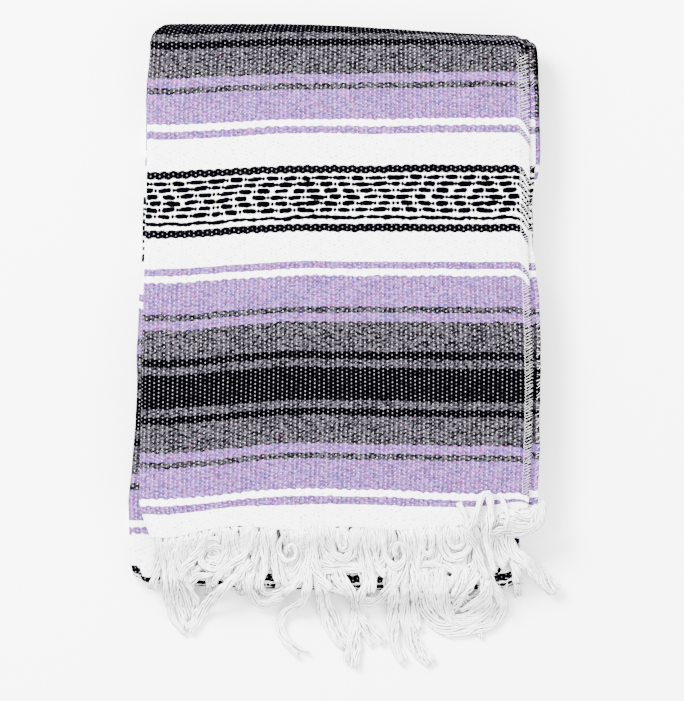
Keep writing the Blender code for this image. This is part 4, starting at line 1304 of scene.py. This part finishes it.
def white_cotton(name, strands):
    """Soft white cotton yarn, with painted shade: darker in the dips of its twist and fibres, and at its rim,
    where its face turns away from the view. strands is how many twisted plies its surface shows round it."""
    yarn = Finish(name, 0.9)
    around, along = yarn.own_map()
    twist = ((around * strands + along * 0.11) * (2 * math.pi)).math("SINE")
    solid = yarn.add("ShaderNodeTexCoord", None, None, "Object")
    soft = yarn.noise(solid, 55.0, 3.0)
    fibre = yarn.noise(yarn.vector(around * 9.0 + along * 0.9, along * 0.25), 1.5, 3.0)
    facing = yarn.add("ShaderNodeLayerWeight", None, {"Blend": 0.5}, "Facing")
    # Painted shade: darker where the yarn's face turns away from the view and in the dips of its twist and
    # fibres; the second colour below is the shade's colour
    rim = facing * facing * 1.35
    shade = ((0.5 - twist * 0.5) * 0.18 + (fibre - 0.5) * -1.4 + (soft - 0.5) * 1.0 + rim).clamp()
    colour = yarn.mix(shade, linear(250, 247, 249), linear(92, 85, 89))
    return yarn.dressed(colour, twist * 0.5 + fibre * 0.7, 0.7, 0.4 * MM)


def pale_floor():
    """Plain pale floor, not part of the object."""
    mesh = bpy.data.meshes.new("floor")
    reach = 3.0
    corners = [(-reach, -reach, 0), (reach, -reach, 0), (reach, reach, 0), (-reach, reach, 0)]
    mesh.from_pydata(corners, [], [(0, 1, 2, 3)])
    paint = Finish("pale_floor", 0.9)
    paint.shader.inputs["Base Color"].default_value = linear(255, 255, 255)
    mesh.materials.append(paint.material)
    floor = bpy.data.objects.new("floor", mesh)
    bpy.context.scene.collection.objects.link(floor)


def camera():
    """Camera straight above, far off, so that heights hardly change the scale."""
    lens = bpy.data.cameras.new("camera")
    lens.sensor_fit = "HORIZONTAL"
    lens.sensor_width = SENSOR
    lens.lens = SENSOR * (CAMERA_HEIGHT - PILE_HEIGHT) / VIEW_WIDTH
    made = bpy.data.objects.new("camera", lens)
    made.location = (*VIEW_MIDDLE, CAMERA_HEIGHT)
    bpy.context.scene.collection.objects.link(made)
    bpy.context.scene.camera = made


def lights():
    """A pale surround, a soft key light from the far left and a weak fill from the near right."""
    world = bpy.data.worlds.new("studio")
    world.use_nodes = True
    background = world.node_tree.nodes["Background"]
    background.inputs["Color"].default_value = (1.0, 1.0, 1.0, 1.0)
    background.inputs["Strength"].default_value = SURROUND
    bpy.context.scene.world = world
    for lamp in LAMPS:
        light = bpy.data.lights.new(lamp.name, "AREA")
        light.size = lamp.size
        light.energy = lamp.power
        made = bpy.data.objects.new(lamp.name, light)
        made.location = lamp.place
        x, y, z = lamp.place
        made.rotation_euler = (math.atan2(math.hypot(x, y), z), 0, math.atan2(-y, -x) - math.pi / 2)
        bpy.context.scene.collection.objects.link(made)


def main():
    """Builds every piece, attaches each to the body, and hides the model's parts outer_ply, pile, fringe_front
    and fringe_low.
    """
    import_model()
    camera()
    lights()
    pale_floor()
    cloth = striped_cloth("striped_cloth")
    cotton = white_cotton("fringe_cotton", 2.0)
    thread = white_cotton("overlock_thread", 1.0)
    front = front_cloth(cloth)
    under = under_cloth(cloth)
    filling = hidden_layers(cloth)
    plies = right_plies(cloth)
    rolls = left_rolls(cloth)
    draw = np.random.default_rng(11)
    upper = [
        fringe("fringe_fill", fill_locks(draw), upper_height, draw, FILL_YARN, cotton),
        fringe("fringe_tangle", TANGLED_LOCKS, upper_height, draw, 1.0, cotton),
        fringe("fringe_hanging", HANGING_LOCKS, upper_height, draw, 1.0, cotton),
    ]
    lower = fringe("lower_fringe", low_locks(draw), lower_height, draw, FILL_YARN, cotton)
    stitches = overlock(thread)
    looper = looper_thread(thread)
    for piece in (front, under, filling, plies, rolls, *upper, lower, stitches, looper):
        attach(piece, BODY)
    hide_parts("outer_ply")
    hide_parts("outer_ply")
    for piece in (filling, plies, rolls):
        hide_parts("pile")
    for piece in upper:
        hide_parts("fringe_front")
    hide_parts("fringe_low")


main()
